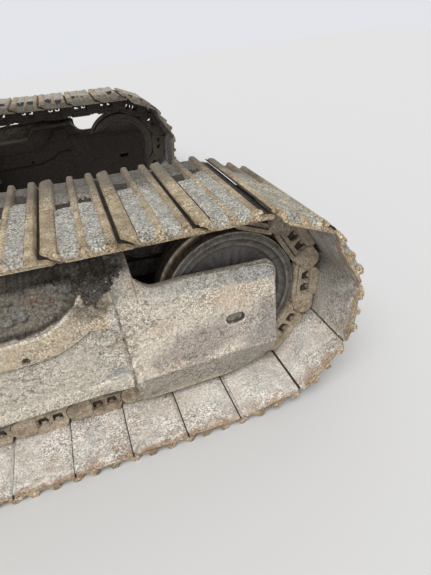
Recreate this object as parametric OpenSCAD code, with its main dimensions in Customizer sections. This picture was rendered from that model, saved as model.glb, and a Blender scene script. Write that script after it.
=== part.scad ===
// Crawler undercarriage of a 20 to 24 tonne class machine, long version.
// X points forward to the idlers, Y to the left, Z up; the ground is Z = 0.

/* [Track] */
// Distance from pin to pin along the chain
pitch = 190; // [171:1:209]
// Number of shoes on each side
shoe_count = 49; // [47:1:52]
// Width of a shoe across the machine
shoe_w = 600; // [480:10:700]
// Distance between the middles of the two tracks
gauge = 2390; // [2200:10:2600]
// Thickness of the shoe plate
plate_t = 11; // [9:1:14]
// Height of the grouser bars above the plate
grouser_h = 22; // [14:1:28]
// Height of the pins over the shoe seat
pin_over_seat = 52; // [48:1:56]
// Height of the rolling rail over the pins
rail_over_pin = 53; // [50:1:58]
// Width of the chain across its outer faces
chain_w = 170; // [160:2:184]
// Thickness of a link plate in its middle
link_t = 34; // [26:1:38]
// Outer radius of the bushings
bushing_r = 30; // [26:1:32]

/* [Idler and sprocket] */
// Radius of the idler's tread
idler_r = 234; // [215:1:250]
// Width of the idler across its two treads
idler_w = 160; // [148:2:168]
// Height of the idler's middle flange over its tread
idler_flange_h = 19; // [12:1:24]
// Radius of the idler's fixed axle
idler_axle_r = 40; // [32:1:48]
// Gap between the idler's tread and the chain's rail
idler_gap = 3; // [2:0.5:6]
// Number of sprocket teeth, of which every second one takes a bushing
sprocket_teeth = 21; // [21:2:23]
// Thickness of the sprocket's tooth ring
sprocket_t = 46; // [36:2:54]

/* [Rollers] */
// Number of bottom rollers on each side
roller_count = 8; // [6:1:9]
// Radius of a bottom roller's tread
roller_r = 80; // [70:1:86]
// Radius of a bottom roller's side flange
roller_flange_r = 97; // [90:1:100]
// Radius of a carrier roller
carrier_r = 68; // [56:1:72]

/* [Side frame] */
// Thickness of the outer side plate
side_plate_t = 12; // [8:1:16]
// Half width of the frame over its side plates
frame_half_w = 135; // [130:1:145]
// Half width of the narrow upper box
box_half_w = 95; // [85:1:105]
// Height of the upper box over the ground
box_top_z = 545; // [520:1:550]
// Height of the hood over the tensioner
hood_top_z = 606; // [590:1:612]
// Thickness of the curved ledge band on the side plate
band_t = 12; // [8:1:14]
// Height of the ledge band
band_h = 88; // [70:1:100]
// Radius of the ledge band's upward bend
band_bend_r = 190; // [150:5:230]
// Thickness of the fork's bent plates
fork_t = 14; // [10:1:16]

/* [Centre] */
// Height of the slewing ring's seat over the ground
ring_seat_z = 880; // [840:5:960]
// Height of the slewing ring
ring_h = 100; // [80:2:130]
// Thickness of the deck under the slewing ring
ring_deck_t = 60; // [40:2:70]
// Radius of the gap between the two races
race_r = 595; // [570:5:620]
// Radial width of each race
race_w = 52; // [46:1:60]
// Bolts round each race
ring_bolts = 36; // [24:2:40]
// Radius of the ring's bolt holes
ring_bolt_r = 13; // [9:0.5:14]
// Radius of the swivel's shaft
swivel_r = 70; // [50:1:85]

/* [Hidden] */
$fn = 64;

// Running and seating clearances
seat = 0.3;
fit = 0.05;

// Heights of the chain's lines over the ground
pin_z = plate_t + grouser_h + pin_over_seat;
rail_z = pin_z + rail_over_pin;

// Circles of the pins round the idler and the sprocket
idler_pin_r = norm([idler_r + idler_gap + rail_over_pin, pitch / 2]);
sprocket_pin_r = pitch / 2 / sin(360 / sprocket_teeth);
idler_z = pin_z + idler_pin_r;
sprocket_z = pin_z + sprocket_pin_r;

// The chain's upper run: pins over the two carrier rollers, and the sag between supports
carrier_pin_z = [745, 742];
carrier_from_wheel = [1180, 1240];
sag = 5;
// First pin of the loop, behind the idler's middle
first_pin_back = 416;

// A wheel's arc counts shorter than it is, so that its chords come out as one pitch
function chord_ratio(r) = 2 * r * asin(pitch / 2 / r) * PI / 180 / pitch;
function span(a, b) = norm(b - a);
function wheel_point(c, r, a) = c + r * [cos(a), sin(a)];
// Angle of the tangent point on a wheel for a line to point k, above the wheel
function tangent_up(c, r, k, side) =
    atan2(k[1] - c[1], k[0] - c[0]) + side * acos(r / span(c, k));

// The loop for a wheel base d, with the sprocket at x = 0: segments of [kind, length, data]
function loop_segments(d) =
    let (ci = [d, idler_z], cs = [0, sprocket_z],
        k1 = [d - carrier_from_wheel[0], carrier_pin_z[0]],
        k2 = [carrier_from_wheel[1], carrier_pin_z[1]],
        a1 = tangent_up(ci, idler_pin_r, k1, -1),
        a2 = tangent_up(cs, sprocket_pin_r, k2, 1),
        t1 = wheel_point(ci, idler_pin_r, a1),
        t2 = wheel_point(cs, sprocket_pin_r, a2),
        start = [d - first_pin_back, pin_z],
        arc1 = idler_pin_r * (a1 + 90) * PI / 180,
        arc2 = sprocket_pin_r * (270 - a2) * PI / 180)
    [
        ["line", first_pin_back, start, [d, pin_z], 0],
        ["arc", arc1 / chord_ratio(idler_pin_r), ci, idler_pin_r, -90, a1],
        ["line", span(t1, k1), t1, k1, sag],
        ["line", span(k1, k2), k1, k2, sag],
        ["line", span(k2, t2), k2, t2, sag],
        ["arc", arc2 / chord_ratio(sprocket_pin_r), cs, sprocket_pin_r, a2, 270],
        ["line", d - first_pin_back, [0, pin_z], start, 0]
    ];
function total(list, i = 0) = i == len(list) ? 0 : list[i][1] + total(list, i + 1);
// The wheel base at which the loop holds exactly shoe_count pitches
function solve_base(lo, hi, n) =
    let (mid = (lo + hi) / 2)
    n == 0 ? mid
    : total(loop_segments(mid)) > shoe_count * pitch ? solve_base(lo, mid, n - 1)
    : solve_base(mid, hi, n - 1);
wheel_base = solve_base(0.3 * shoe_count * pitch, 0.45 * shoe_count * pitch, 30);
segments = loop_segments(wheel_base);

// A point along the loop at u, found segment by segment
function on_segment(s, u) =
    let (t = u / s[1])
    s[0] == "line" ? s[2] + t * (s[3] - s[2]) - [0, 4 * s[4] * t * (1 - t)]
    : wheel_point(s[2], s[3], s[4] + t * (s[5] - s[4]));
function on_loop(u, i = 0) =
    i == len(segments) - 1 || u <= segments[i][1] ? on_segment(segments[i], u)
    : on_loop(u - segments[i][1], i + 1);
pins = [for (i = [0:shoe_count - 1]) on_loop(i * pitch)];
function next_pin(i) = pins[(i + 1) % shoe_count];
function link_angle(i) = let (v = next_pin(i) - pins[i]) atan2(v[1], v[0]);

// Shoe profile in a link's own frame: x along the link, z towards the inside of the loop
tip_x = -44;
lap = 34;
seat_z = -pin_over_seat;
plate_z = seat_z - plate_t;
grouser_z = plate_z - grouser_h;
edge_x = tip_x + lap + pitch;
bars = [[edge_x - 44, edge_x], [70, 90], [1, 27]];
shoe_profile = [
    [tip_x, seat_z + 1], [tip_x + 24, seat_z], [tip_x + pitch - 22, seat_z], [tip_x + pitch, plate_z + 1],
    [edge_x - 15, plate_z - 7], [edge_x, plate_z - 9.5], [bars[0][1], grouser_z + 5], [bars[0][1] - 4, grouser_z],
    [bars[0][0] + 4, grouser_z], [bars[0][0] - 2, plate_z],
    [bars[1][1] + 4, plate_z], [bars[1][1], grouser_z], [bars[1][0], grouser_z], [bars[1][0] - 4, plate_z],
    [bars[2][1] + 4, plate_z], [bars[2][1], grouser_z], [bars[2][0] + 3, grouser_z], [bars[2][0] - 2, plate_z],
    [tip_x + 20, plate_z + 4], [tip_x, plate_z + 7.5]];

// The loop's own reach sets where the middle of the whole lies
function placed(p, i) =
    let (a = link_angle(i)) pins[i][0] + p[0] * cos(a) - p[1] * sin(a);
reach = [for (i = [0:shoe_count - 1]) for (p = shoe_profile) placed(p, i)];
sprocket_x = -(max(reach) + min(reach)) / 2;
idler_x = sprocket_x + wheel_base;

// Lengthwise places on the side frame, from the idler's middle
seam_x = idler_x - 396;
hood_x = [idler_x - 700, idler_x - 325];
box_rear_x = sprocket_x + sprocket_pin_r + 28;
roller_z = rail_z + roller_r + seat;
box_bottom_z = roller_z + roller_flange_r + 8;
roller_span = [sprocket_x + 480, idler_x - 470];
function roller_x(i) =
    roller_span[0] + i * (roller_span[1] - roller_span[0]) / (roller_count - 1);

// A carrier roller just meets the link that passes over it
carrier_x = [idler_x - carrier_from_wheel[0], sprocket_x + carrier_from_wheel[1]];
function link_over(x) = [for (i = [0:shoe_count - 1])
    if (pins[i][1] > idler_z && pins[i][0] > x && next_pin(i)[0] <= x) i][0];
function carrier_axle_z(x) =
    let (i = link_over(x), along = (next_pin(i) - pins[i]) / pitch)
    pins[i][1] + (x - pins[i][0]) * along[1] / along[0]
    - (rail_over_pin + carrier_r + 2 * seat) / abs(along[0]);
carrier_z = [for (x = carrier_x) carrier_axle_z(x - sprocket_x)];

function arc(c, r, a0, a1, n) = [for (i = [0:n]) let (a = a0 + i * (a1 - a0) / n) c + r * [cos(a), sin(a)]];

module on_side(dir) {
    translate([0, dir * gauge / 2, 0]) mirror([0, dir > 0 ? 1 : 0, 0]) children();
}

// Turned about the cross axis: rotate_extrude profiles drawn as [radius, y]
module turned(x, z) {
    translate([x, 0, z]) rotate([-90, 0, 0]) rotate_extrude() children();
}

// A profile drawn in x and z, as thick as from y0 to y1
module plate_xz(y0, y1) {
    translate([0, y1, 0]) rotate([90, 0, 0]) linear_extrude(y1 - y0) children();
}

module at_link(i) {
    translate([pins[i][0] + sprocket_x, 0, pins[i][1]]) rotate([0, -link_angle(i), 0]) children();
}

module shoe() {
    clip = 24;
    half = shoe_w / 2;
    intersection() {
        plate_xz(-half, half) polygon(shoe_profile);
        translate([0, 0, grouser_z - 5]) linear_extrude(60)
            polygon([
                [tip_x - 1, -half + clip], [tip_x + 22, -half], [edge_x - 27, -half], [edge_x + 1, -half + clip],
                [edge_x + 1, half - clip], [edge_x - 27, half], [tip_x + 22, half], [tip_x - 1, half - clip]]);
    }
}

module track_shoes() {
    color([0.55, 0.48, 0.38])
    for (i = [0:shoe_count - 1]) at_link(i) shoe();
}

// Side view of a link plate: rail above, foot below, and a thinner web with two windows
module link_rail() {
    polygon([[28, 36], [28, rail_over_pin], [pitch - 28, rail_over_pin], [pitch - 24, 36]]);
}

module link_foot() {
    polygon([[34, seat_z], [30, -20], [pitch - 38, -20], [pitch - 52, seat_z]]);
}

module link_web() {
    difference() {
        polygon([[30, -21], [26, 37], [pitch - 24, 37], [pitch - 36, -21]]);
        for (x = [66, 114]) translate([x, -14]) polygon([[-14, 0], [14, 0], [14, 18], [0, 28], [-14, 18]]);
    }
}

// Eye round a pin with its cheek up to the rail, seen from the side, the link's middle towards +x
module link_eye() {
    boss_r = 37;
    circle(boss_r);
    polygon([[46, -34], [8, -34], [0, boss_r], [12, rail_over_pin], [46, rail_over_pin]]);
}

module link_pair() {
    outer = chain_w / 2;
    inner = outer - link_t - 5;
    recess = 5;
    eye_t = 20;
    for (s = [0, 1]) mirror([0, s, 0]) {
        plate_xz(inner, inner + link_t) link_rail();
        plate_xz(inner, inner + link_t) link_foot();
        plate_xz(inner + recess, inner + link_t - recess) link_web();
        plate_xz(outer - eye_t, outer) link_eye();
        plate_xz(outer - 2 * eye_t - 2, outer - eye_t - 2) translate([pitch, 0]) mirror([1, 0]) link_eye();
    }
    // Bushing between the plates, and the pin in it
    rotate([90, 0, 0]) cylinder(r = bushing_r, h = chain_w - 80, center = true);
    rotate([90, 0, 0]) cylinder(r = 19, h = chain_w - 2, center = true);
}

module track_chain() {
    color([0.36, 0.27, 0.2])
    for (i = [0:shoe_count - 1]) at_link(i) link_pair();
}

// The ledge band: level along the frame, then bent up towards the hood
module band_outline() {
    foot = box_bottom_z + 60;
    bend = [idler_x - 662, foot + band_h + band_bend_r];
    upper = arc(bend, band_bend_r, 270, 322, 10);
    lower = arc(bend, band_bend_r + band_h, 270, 308, 8);
    top = hood_top_z - 10;
    polygon(concat(
        [[box_rear_x, foot], [box_rear_x, foot + band_h]], upper,
        [[upper[10][0] + (top - upper[10][1]) / tan(52), top], [seam_x, top], [seam_x, lower[8][1] + 6]],
        [for (i = [8:-1:0]) lower[i]]));
}

module side_frame() {
    face = frame_half_w - band_t;
    inner = face - side_plate_t;
    lip_z = [roller_z - 42, roller_z - 10];
    color([0.6, 0.54, 0.45]) {
        // Lower box and narrow upper box
        translate([box_rear_x, 0, 0]) rotate([90, 0, 90]) linear_extrude(seam_x - box_rear_x) polygon([
            [-inner, box_bottom_z], [-inner, 400], [-box_half_w, 430], [-box_half_w, box_top_z - 8],
            [-box_half_w + 8, box_top_z], [box_half_w - 8, box_top_z], [box_half_w, box_top_z - 8],
            [box_half_w, 430], [inner, 400], [inner, box_bottom_z]]);
        // Hood over the tensioner, open below in front of the seam
        plate_xz(-box_half_w, box_half_w) polygon([
            [hood_x[0], box_top_z - 20], [hood_x[0] + 70, hood_top_z], [hood_x[1] - 24, hood_top_z],
            [hood_x[1], hood_top_z - 24], [hood_x[1], idler_z + 70], [seam_x - 20, idler_z + 70]]);
        for (s = [-1, 1]) mirror([0, s > 0 ? 1 : 0, 0]) {
            // Side plate, its lower lip and the ledge band
            plate_xz(-face, -inner) polygon([
                [box_rear_x, 250], [box_rear_x + 60, lip_z[0]], [seam_x, lip_z[0]], [seam_x, 470],
                [box_rear_x + 80, 470], [box_rear_x, 440]]);
            plate_xz(-frame_half_w, -face + 1) polygon(concat(
                [[box_rear_x + 60, lip_z[0]], [seam_x - 40, lip_z[0]]],
                arc([seam_x - 26, lip_z[1] - 22], 22, 0, 90, 5), [[box_rear_x + 60, lip_z[1]]]));
            plate_xz(-frame_half_w, -face + 1) difference() {
                band_outline();
                for (x = [seam_x - 290, seam_x - 1180, seam_x - 2070]) translate([x, box_bottom_z + 74]) circle(13);
            }
            // Gusset behind the bent-up end of the band
            plate_xz(-face + 1, -box_half_w + 1) translate([idler_x, 0]) polygon([
                [-520, 400], [-520, hood_top_z - 60], [-460, hood_top_z - 12], [seam_x - idler_x, hood_top_z - 12],
                [seam_x - idler_x, 400]]);
        }
        // Rear bracket that carries the drive
        plate_xz(61 + seat, 90) difference() {
            union() {
                translate([sprocket_x, sprocket_z]) circle(235);
                polygon([
                    [sprocket_x, sprocket_z - 235], [box_rear_x + 10, box_bottom_z], [box_rear_x + 10, box_top_z - 40],
                    [sprocket_x + 60, sprocket_z + 226]]);
            }
            translate([sprocket_x, sprocket_z]) circle(150);
        }
        translate([box_rear_x - 100, 0, 0]) rotate([90, 0, 90]) linear_extrude(100) polygon([
            [40, box_bottom_z], [90, box_bottom_z], [90, box_top_z - 40], [40, box_top_z - 40]]);
    }
}

// The fork's plates seen from the side, from the idler's middle
fork_outline = concat(
    [[-396, 545], [-325, 545]], arc([-256, 592], 69, 200, 265, 8),
    [[-155, 521], [-64, 514], [35, 508], [110, 505]], arc([118, 473], 32, 85, 0, 6),
    [[139, 440]], arc([58, 192], 81, 0, -62, 5),
    [[36, 88], [-30, 71], [-64, 66]], arc([-354, 104], 38, 270, 185, 6), [[-396, 130]]);

// A bent plate on each side: an upright face, a sloping upper flange and a lower flange turned inwards
module idler_fork() {
    h = frame_half_w;
    crease = 508;
    fall = 0.105;
    bend_z = 185;
    flange = 50;
    color([0.62, 0.56, 0.46])
    for (s = [-1, 1]) mirror([0, s > 0 ? 1 : 0, 0]) difference() {
        intersection() {
            plate_xz(-h, -h + flange + 6) translate([idler_x, 0]) polygon(fork_outline);
            union() {
                multmatrix([[1, 0, 0, seam_x], [0, 1, 0, 0], [-fall, 0, 1, crease], [0, 0, 0, 1]])
                    rotate([90, 0, 90]) linear_extrude(700) polygon([
                        [-h, -260], [-h, -8], [-h + 4, 3], [-h + flange - 2, flange + 4], [-h + flange, flange - 8],
                        [-h + fork_t + 3, -6], [-h + fork_t, -14], [-h + fork_t, -260]]);
                translate([seam_x, 0, 0]) rotate([90, 0, 90]) linear_extrude(700) polygon([
                    [-h, 300], [-h, bend_z + 12], [-h + 2, bend_z - 6], [-h + 30, 60], [-h + 42, 60],
                    [-h + fork_t + 2, bend_z - 4], [-h + fork_t, bend_z + 12], [-h + fork_t, 300]]);
            }
        }
        // Slot in the face, and the hood's side behind the notch
        plate_xz(-h - 1, -h + fork_t + 1) translate([idler_x - 14, 332]) union() {
            for (e = [-1, 1]) translate([e * 14, 0]) circle(20);
            square([28, 40], center = true);
        }
        translate([seam_x - 1, -box_half_w - seat, 400])
            cube([hood_x[1] - seam_x + 1 + seat, 60, 300]);
    }
}

// Both treads, the middle flange, the dished webs and the hub
module idler() {
    w = idler_w / 2;
    fl = 37;
    color([0.3, 0.28, 0.27])
    turned(idler_x, idler_z) polygon([
        [idler_axle_r + fit, -w + 6], [idler_axle_r + 34, -w + 6], [idler_axle_r + 40, -w + 22],
        [idler_r - 62, -w + 22], [idler_r - 50, -w + 8], [idler_r - 26, -w + 5], [idler_r - 22, -w], [idler_r - 4, -w],
        [idler_r, -w + 4], [idler_r, -fl - 4], [idler_r + idler_flange_h, -fl + 3],
        [idler_r + idler_flange_h, fl - 3], [idler_r, fl + 4], [idler_r, w - 4], [idler_r - 4, w],
        [idler_r - 22, w], [idler_r - 26, w - 5], [idler_r - 50, w - 8], [idler_r - 62, w - 22],
        [idler_axle_r + 40, w - 22], [idler_axle_r + 34, w - 6], [idler_axle_r + fit, w - 6]]);
}

module idler_axle() {
    color([0.5, 0.5, 0.5])
    turned(idler_x, idler_z) square([idler_axle_r, frame_half_w - 24]);
    color([0.5, 0.5, 0.5])
    turned(idler_x, idler_z) translate([0, -frame_half_w + 24]) square([idler_axle_r, frame_half_w - 24]);
}

// Sliding blocks that hold the axle in the fork
module idler_blocks() {
    y0 = idler_w / 2 + 5;
    y1 = frame_half_w - fork_t - seat;
    color([0.42, 0.4, 0.38])
    for (s = [-1, 1]) mirror([0, s > 0 ? 1 : 0, 0])
        plate_xz(-y1, -y0) difference() {
            translate([idler_x, idler_z]) square([190, 100], center = true);
            translate([idler_x, idler_z]) circle(idler_axle_r);
        }
}

// Yoke from the blocks back to the tension cylinder's rod
module tension_yoke() {
    y0 = idler_w / 2 + 5;
    y1 = frame_half_w - fork_t - seat;
    xb = idler_x - idler_r - idler_flange_h - 12;
    color([0.38, 0.35, 0.32]) {
        for (s = [-1, 1]) mirror([0, s > 0 ? 1 : 0, 0])
            translate([xb - 30, -y1, idler_z - 42]) cube([idler_x - 95 - xb + 30, y1 - y0, 84]);
        translate([xb - 40, -y1, idler_z - 52]) cube([40, 2 * y1, 104]);
        translate([seam_x, 0, idler_z]) rotate([0, 90, 0]) cylinder(r = 45, h = xb - 40 - seam_x);
    }
}

// One bottom roller: two treads with outer flanges on a waisted barrel
module roller_profile() {
    t = chain_w / 2 + 2;
    polygon([
        [32, -t - 10], [roller_flange_r - 4, -t - 10], [roller_flange_r, -t - 6], [roller_flange_r - 3, -t],
        [roller_r, -t + 1], [roller_r, -42], [64, -36], [64, 36], [roller_r, 42], [roller_r, t - 1],
        [roller_flange_r - 3, t], [roller_flange_r, t + 6], [roller_flange_r - 4, t + 10], [32, t + 10]]);
}

module bottom_rollers() {
    color([0.33, 0.27, 0.22])
    for (i = [0:roller_count - 1]) turned(roller_x(i), roller_z) roller_profile();
}

module roller_shafts() {
    y0 = chain_w / 2 + 12 + seat;
    y1 = frame_half_w - band_t - side_plate_t - seat;
    color([0.4, 0.34, 0.28])
    for (i = [0:roller_count - 1]) {
        turned(roller_x(i), roller_z) translate([0, -y0]) square([32 - seat, 2 * y0]);
        for (s = [-1, 1]) mirror([0, s > 0 ? 1 : 0, 0])
            plate_xz(-y1, -y0) translate([roller_x(i), 0]) polygon([
                [-40, box_bottom_z], [-46, roller_z + 14], [-34, roller_z - 34], [34, roller_z - 34],
                [46, roller_z + 14], [40, box_bottom_z]]);
    }
}

module carrier_rollers() {
    color([0.33, 0.27, 0.22])
    for (i = [0, 1]) turned(carrier_x[i], carrier_z[i]) polygon([
        [0, -88], [carrier_r - 16, -88], [carrier_r - 12, -82], [carrier_r, -80], [carrier_r, -42], [carrier_r - 12, -36],
        [carrier_r - 12, 30], [carrier_r, 38], [carrier_r, 56], [carrier_r - 8, 60], [0, 60]]);
}

module carrier_brackets() {
    shaft_r = 26;
    color([0.55, 0.49, 0.4])
    for (i = [0, 1]) {
        turned(carrier_x[i], carrier_z[i]) translate([0, 60 + seat]) square([shaft_r, 30]);
        plate_xz(62, box_half_w - 9) translate([carrier_x[i], 0]) union() {
            translate([0, carrier_z[i]]) circle(shaft_r + 20);
            polygon([[-62, box_top_z + seat], [62, box_top_z + seat], [44, carrier_z[i]], [-44, carrier_z[i]]]);
        }
    }
}

module sprocket() {
    turn = 360 / sprocket_teeth;
    // The first pin that lies on the sprocket's arc sets how the teeth stand
    u0 = total([for (i = [0:4]) segments[i]]);
    j = ceil(u0 / pitch);
    first = pins[j] - [0, sprocket_z];
    start = atan2(first[1], first[0]);
    color([0.32, 0.26, 0.2])
    translate([sprocket_x, 0, sprocket_z]) plate_xz(-sprocket_t / 2, sprocket_t / 2) difference() {
        circle(sprocket_pin_r + 5);
        for (i = [0:sprocket_teeth - 1]) rotate(start + i * turn)
            translate([sprocket_pin_r, 0]) circle(bushing_r + 4);
        circle(190);
    }
}

module final_drive() {
    color([0.34, 0.31, 0.28])
    turned(sprocket_x, sprocket_z) polygon([
        [0, -140], [60, -140], [66, -134], [110, -134], [118, -126], [128, -70], [176, -66], [184, -60],
        [184, -30], [232, -28], [232, -sprocket_t / 2 - seat], [189, -sprocket_t / 2 - seat], [189, 36], [160, 40],
        [160, 61], [120, 61], [120, 92], [0, 92]]);
}

module travel_motor() {
    color([0.3, 0.3, 0.31]) {
        turned(sprocket_x, sprocket_z) polygon([
            [0, 92 + seat], [140, 92 + seat], [140, 112], [104, 116], [104, 190], [92, 200], [0, 200]]);
        translate([sprocket_x - 70, 150, sprocket_z + 60]) cube([140, 70, 90]);
    }
}

module motor_guard() {
    color([0.56, 0.5, 0.41])
    difference() {
        plate_xz(90 + seat, 250) difference() {
            translate([sprocket_x, sprocket_z]) union() {
                circle(205);
                translate([0, -120]) square([250, 240]);
            }
        }
        plate_xz(89, 240) translate([sprocket_x, sprocket_z]) union() {
            circle(193);
            translate([-10, -108]) square([248, 216]);
        }
    }
}

// Guides beside the chain, hung under the frame between two rollers
module track_guards() {
    y0 = chain_w / 2 + 8;
    y1 = frame_half_w - band_t - side_plate_t - seat;
    step = roller_x(1) - roller_x(0);
    color([0.55, 0.49, 0.4])
    for (i = [1, roller_count - 3]) for (s = [-1, 1]) mirror([0, s > 0 ? 1 : 0, 0])
        translate([roller_x(i) + step / 2, 0, 0]) {
            plate_xz(-y0 - 14, -y0) polygon([
                [-75, box_bottom_z], [-75, 130], [-60, rail_z - 30], [60, rail_z - 30], [75, 130], [75, box_bottom_z]]);
            translate([-75, -y1, box_bottom_z - 20]) cube([150, y1 - y0, 20]);
        }
}

// Plan of one leg, grown by e along its sides
module leg_plan(e) {
    side_y = gauge / 2 - frame_half_w;
    polygon([
        [40, 100], [430 + e, 190 - e], [830 + e, 800], [880 + e, 940], [880 + e, side_y],
        [400 - e, side_y], [400 - e, 940], [330 - e, 800], [100, 540]]);
}

// A leg's box or plate, with its heights at the drum and at the track frame
module leg_part(e, top, bottom) {
    side_y = gauge / 2 - frame_half_w;
    deck_z = ring_seat_z - ring_deck_t - seat;
    intersection() {
        linear_extrude(ring_seat_z) leg_plan(e);
        rotate([90, 0, 90]) linear_extrude(1200) polygon([
            [0, bottom[0]], [560, bottom[0]], [side_y, bottom[1]], [side_y, top[1]], [700, top[0]],
            [600, deck_z], [0, deck_z]]);
    }
}

drum_r = race_r - 35;
drum_floor_z = ring_seat_z - 385;
leg_top = [ring_seat_z - 170, ring_seat_z - 310];
leg_bottom = [ring_seat_z - 430, ring_seat_z - 560];

// Box leg with overhanging top and bottom plates and a pad against the track frame
module leg(front, left) {
    foot = [540, 32, 250];
    color([0.55, 0.5, 0.42])
    mirror([front ? 0 : 1, 0, 0]) mirror([0, left ? 0 : 1, 0]) difference() {
        union() {
            leg_part(0, leg_top, leg_bottom);
            leg_part(16, leg_top, [leg_top[0] - 18, leg_top[1] - 18]);
            leg_part(16, [leg_bottom[0] + 16, leg_bottom[1] + 16], leg_bottom);
            translate([370, gauge / 2 - frame_half_w - foot[1], leg_bottom[1] - 20]) cube(foot);
        }
        cylinder(r = drum_r + seat, h = ring_seat_z, $fn = 128);
    }
}

// Drum and deck under the slewing ring, with a well for the swivel
module carbody() {
    color([0.55, 0.5, 0.42])
    difference() {
        union() {
            translate([0, 0, leg_bottom[0]]) cylinder(r = drum_r, h = ring_seat_z - ring_deck_t - leg_bottom[0]);
            translate([0, 0, ring_seat_z - ring_deck_t]) cylinder(r = race_r + race_w + 16, h = ring_deck_t);
        }
        translate([0, 0, drum_floor_z]) cylinder(r = race_r - race_w - 60, h = ring_seat_z);
        translate([0, 0, leg_bottom[0] - 1]) cylinder(r = swivel_r + fit + 10, h = 100);
        // Hose windows through the drum
        for (a = [0, 180]) rotate([0, 0, a]) translate([0, 0, drum_floor_z + 150]) rotate([0, 90, 0])
            cylinder(r = 75, h = drum_r + 1);
    }
}

module race_bolts(r, h) {
    for (i = [0:ring_bolts - 1]) rotate(i * 360 / ring_bolts) translate([r, 0, 0])
        cylinder(r = ring_bolt_r, h = h);
}

module slew_ring_inner() {
    teeth = 90;
    color([0.35, 0.34, 0.33])
    translate([0, 0, ring_seat_z + seat]) difference() {
        cylinder(r = race_r - 0.25, h = ring_h - 12);
        translate([0, 0, -1]) cylinder(r = race_r - race_w, h = ring_h + 2);
        translate([0, 0, -1]) race_bolts(race_r - race_w / 2, ring_h + 2);
    }
    color([0.4, 0.39, 0.37])
    translate([0, 0, ring_seat_z + seat]) linear_extrude(70) difference() {
        circle(race_r - race_w + 1);
        circle(race_r - race_w - 12);
    }
    color([0.4, 0.39, 0.37])
    translate([0, 0, ring_seat_z + seat]) linear_extrude(70)
        for (i = [0:teeth - 1]) rotate(i * 360 / teeth) translate([race_r - race_w - 13, 0])
            polygon([[2, -11], [-12, -5], [-12, 5], [2, 11]]);
}

module slew_ring_outer() {
    color([0.37, 0.35, 0.33])
    translate([0, 0, ring_seat_z + 12]) difference() {
        cylinder(r = race_r + race_w, h = ring_h - 12);
        translate([0, 0, -1]) cylinder(r = race_r + 0.25, h = ring_h + 2);
        translate([0, 0, -1]) race_bolts(race_r + race_w / 2, ring_h + 2);
    }
}

// The swivel stands on the drum's floor; its shaft turns with the ring
swivel_foot_z = drum_floor_z + seat;
swivel_top_z = ring_seat_z - 80;

module swivel_body() {
    wall = 35;
    color([0.4, 0.4, 0.41])
    rotate_extrude() polygon([
        [swivel_r + fit, swivel_foot_z], [swivel_r + 110, swivel_foot_z], [swivel_r + 110, swivel_foot_z + 20],
        [swivel_r + wall, swivel_foot_z + 26], [swivel_r + wall, swivel_top_z], [swivel_r + fit, swivel_top_z]]);
}

module swivel_rotor() {
    cap_r = swivel_r + 30;
    color([0.45, 0.45, 0.46])
    rotate_extrude() polygon([
        [0, swivel_foot_z - 20], [swivel_r, swivel_foot_z - 20], [swivel_r, swivel_top_z + seat],
        [cap_r, swivel_top_z + seat], [cap_r, swivel_top_z + 64], [cap_r - 12, swivel_top_z + 70], [0, swivel_top_z + 70]]);
}

on_side(-1) track_shoes();  // right_track_shoes
on_side(-1) track_chain();  // right_track_chain
on_side(-1) side_frame();  // right_side_frame
on_side(-1) idler_fork();  // right_idler_fork
on_side(-1) idler();  // right_idler
on_side(-1) idler_axle();  // right_idler_axle
on_side(-1) idler_blocks();  // right_idler_blocks
on_side(-1) tension_yoke();  // right_tension_yoke
on_side(-1) bottom_rollers();  // right_bottom_rollers
on_side(-1) roller_shafts();  // right_roller_shafts
on_side(-1) carrier_rollers();  // right_carrier_rollers
on_side(-1) carrier_brackets();  // right_carrier_brackets
on_side(-1) sprocket();  // right_sprocket
on_side(-1) final_drive();  // right_final_drive
on_side(-1) travel_motor();  // right_travel_motor
on_side(-1) motor_guard();  // right_motor_guard
on_side(-1) track_guards();  // right_track_guards
on_side(1) track_shoes();  // left_track_shoes
on_side(1) track_chain();  // left_track_chain
on_side(1) side_frame();  // left_side_frame
on_side(1) idler_fork();  // left_idler_fork
on_side(1) idler();  // left_idler
on_side(1) idler_axle();  // left_idler_axle
on_side(1) idler_blocks();  // left_idler_blocks
on_side(1) tension_yoke();  // left_tension_yoke
on_side(1) bottom_rollers();  // left_bottom_rollers
on_side(1) roller_shafts();  // left_roller_shafts
on_side(1) carrier_rollers();  // left_carrier_rollers
on_side(1) carrier_brackets();  // left_carrier_brackets
on_side(1) sprocket();  // left_sprocket
on_side(1) final_drive();  // left_final_drive
on_side(1) travel_motor();  // left_travel_motor
on_side(1) motor_guard();  // left_motor_guard
on_side(1) track_guards();  // left_track_guards
leg(true, false);  // right_front_leg
leg(false, false);  // right_rear_leg
leg(true, true);  // left_front_leg
leg(false, true);  // left_rear_leg
carbody();
slew_ring_inner();
slew_ring_outer();
swivel_body();
swivel_rotor();
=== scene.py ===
import math
import random
import bpy
import numpy as np
from mathutils import Euler, Matrix, Vector, noise


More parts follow.
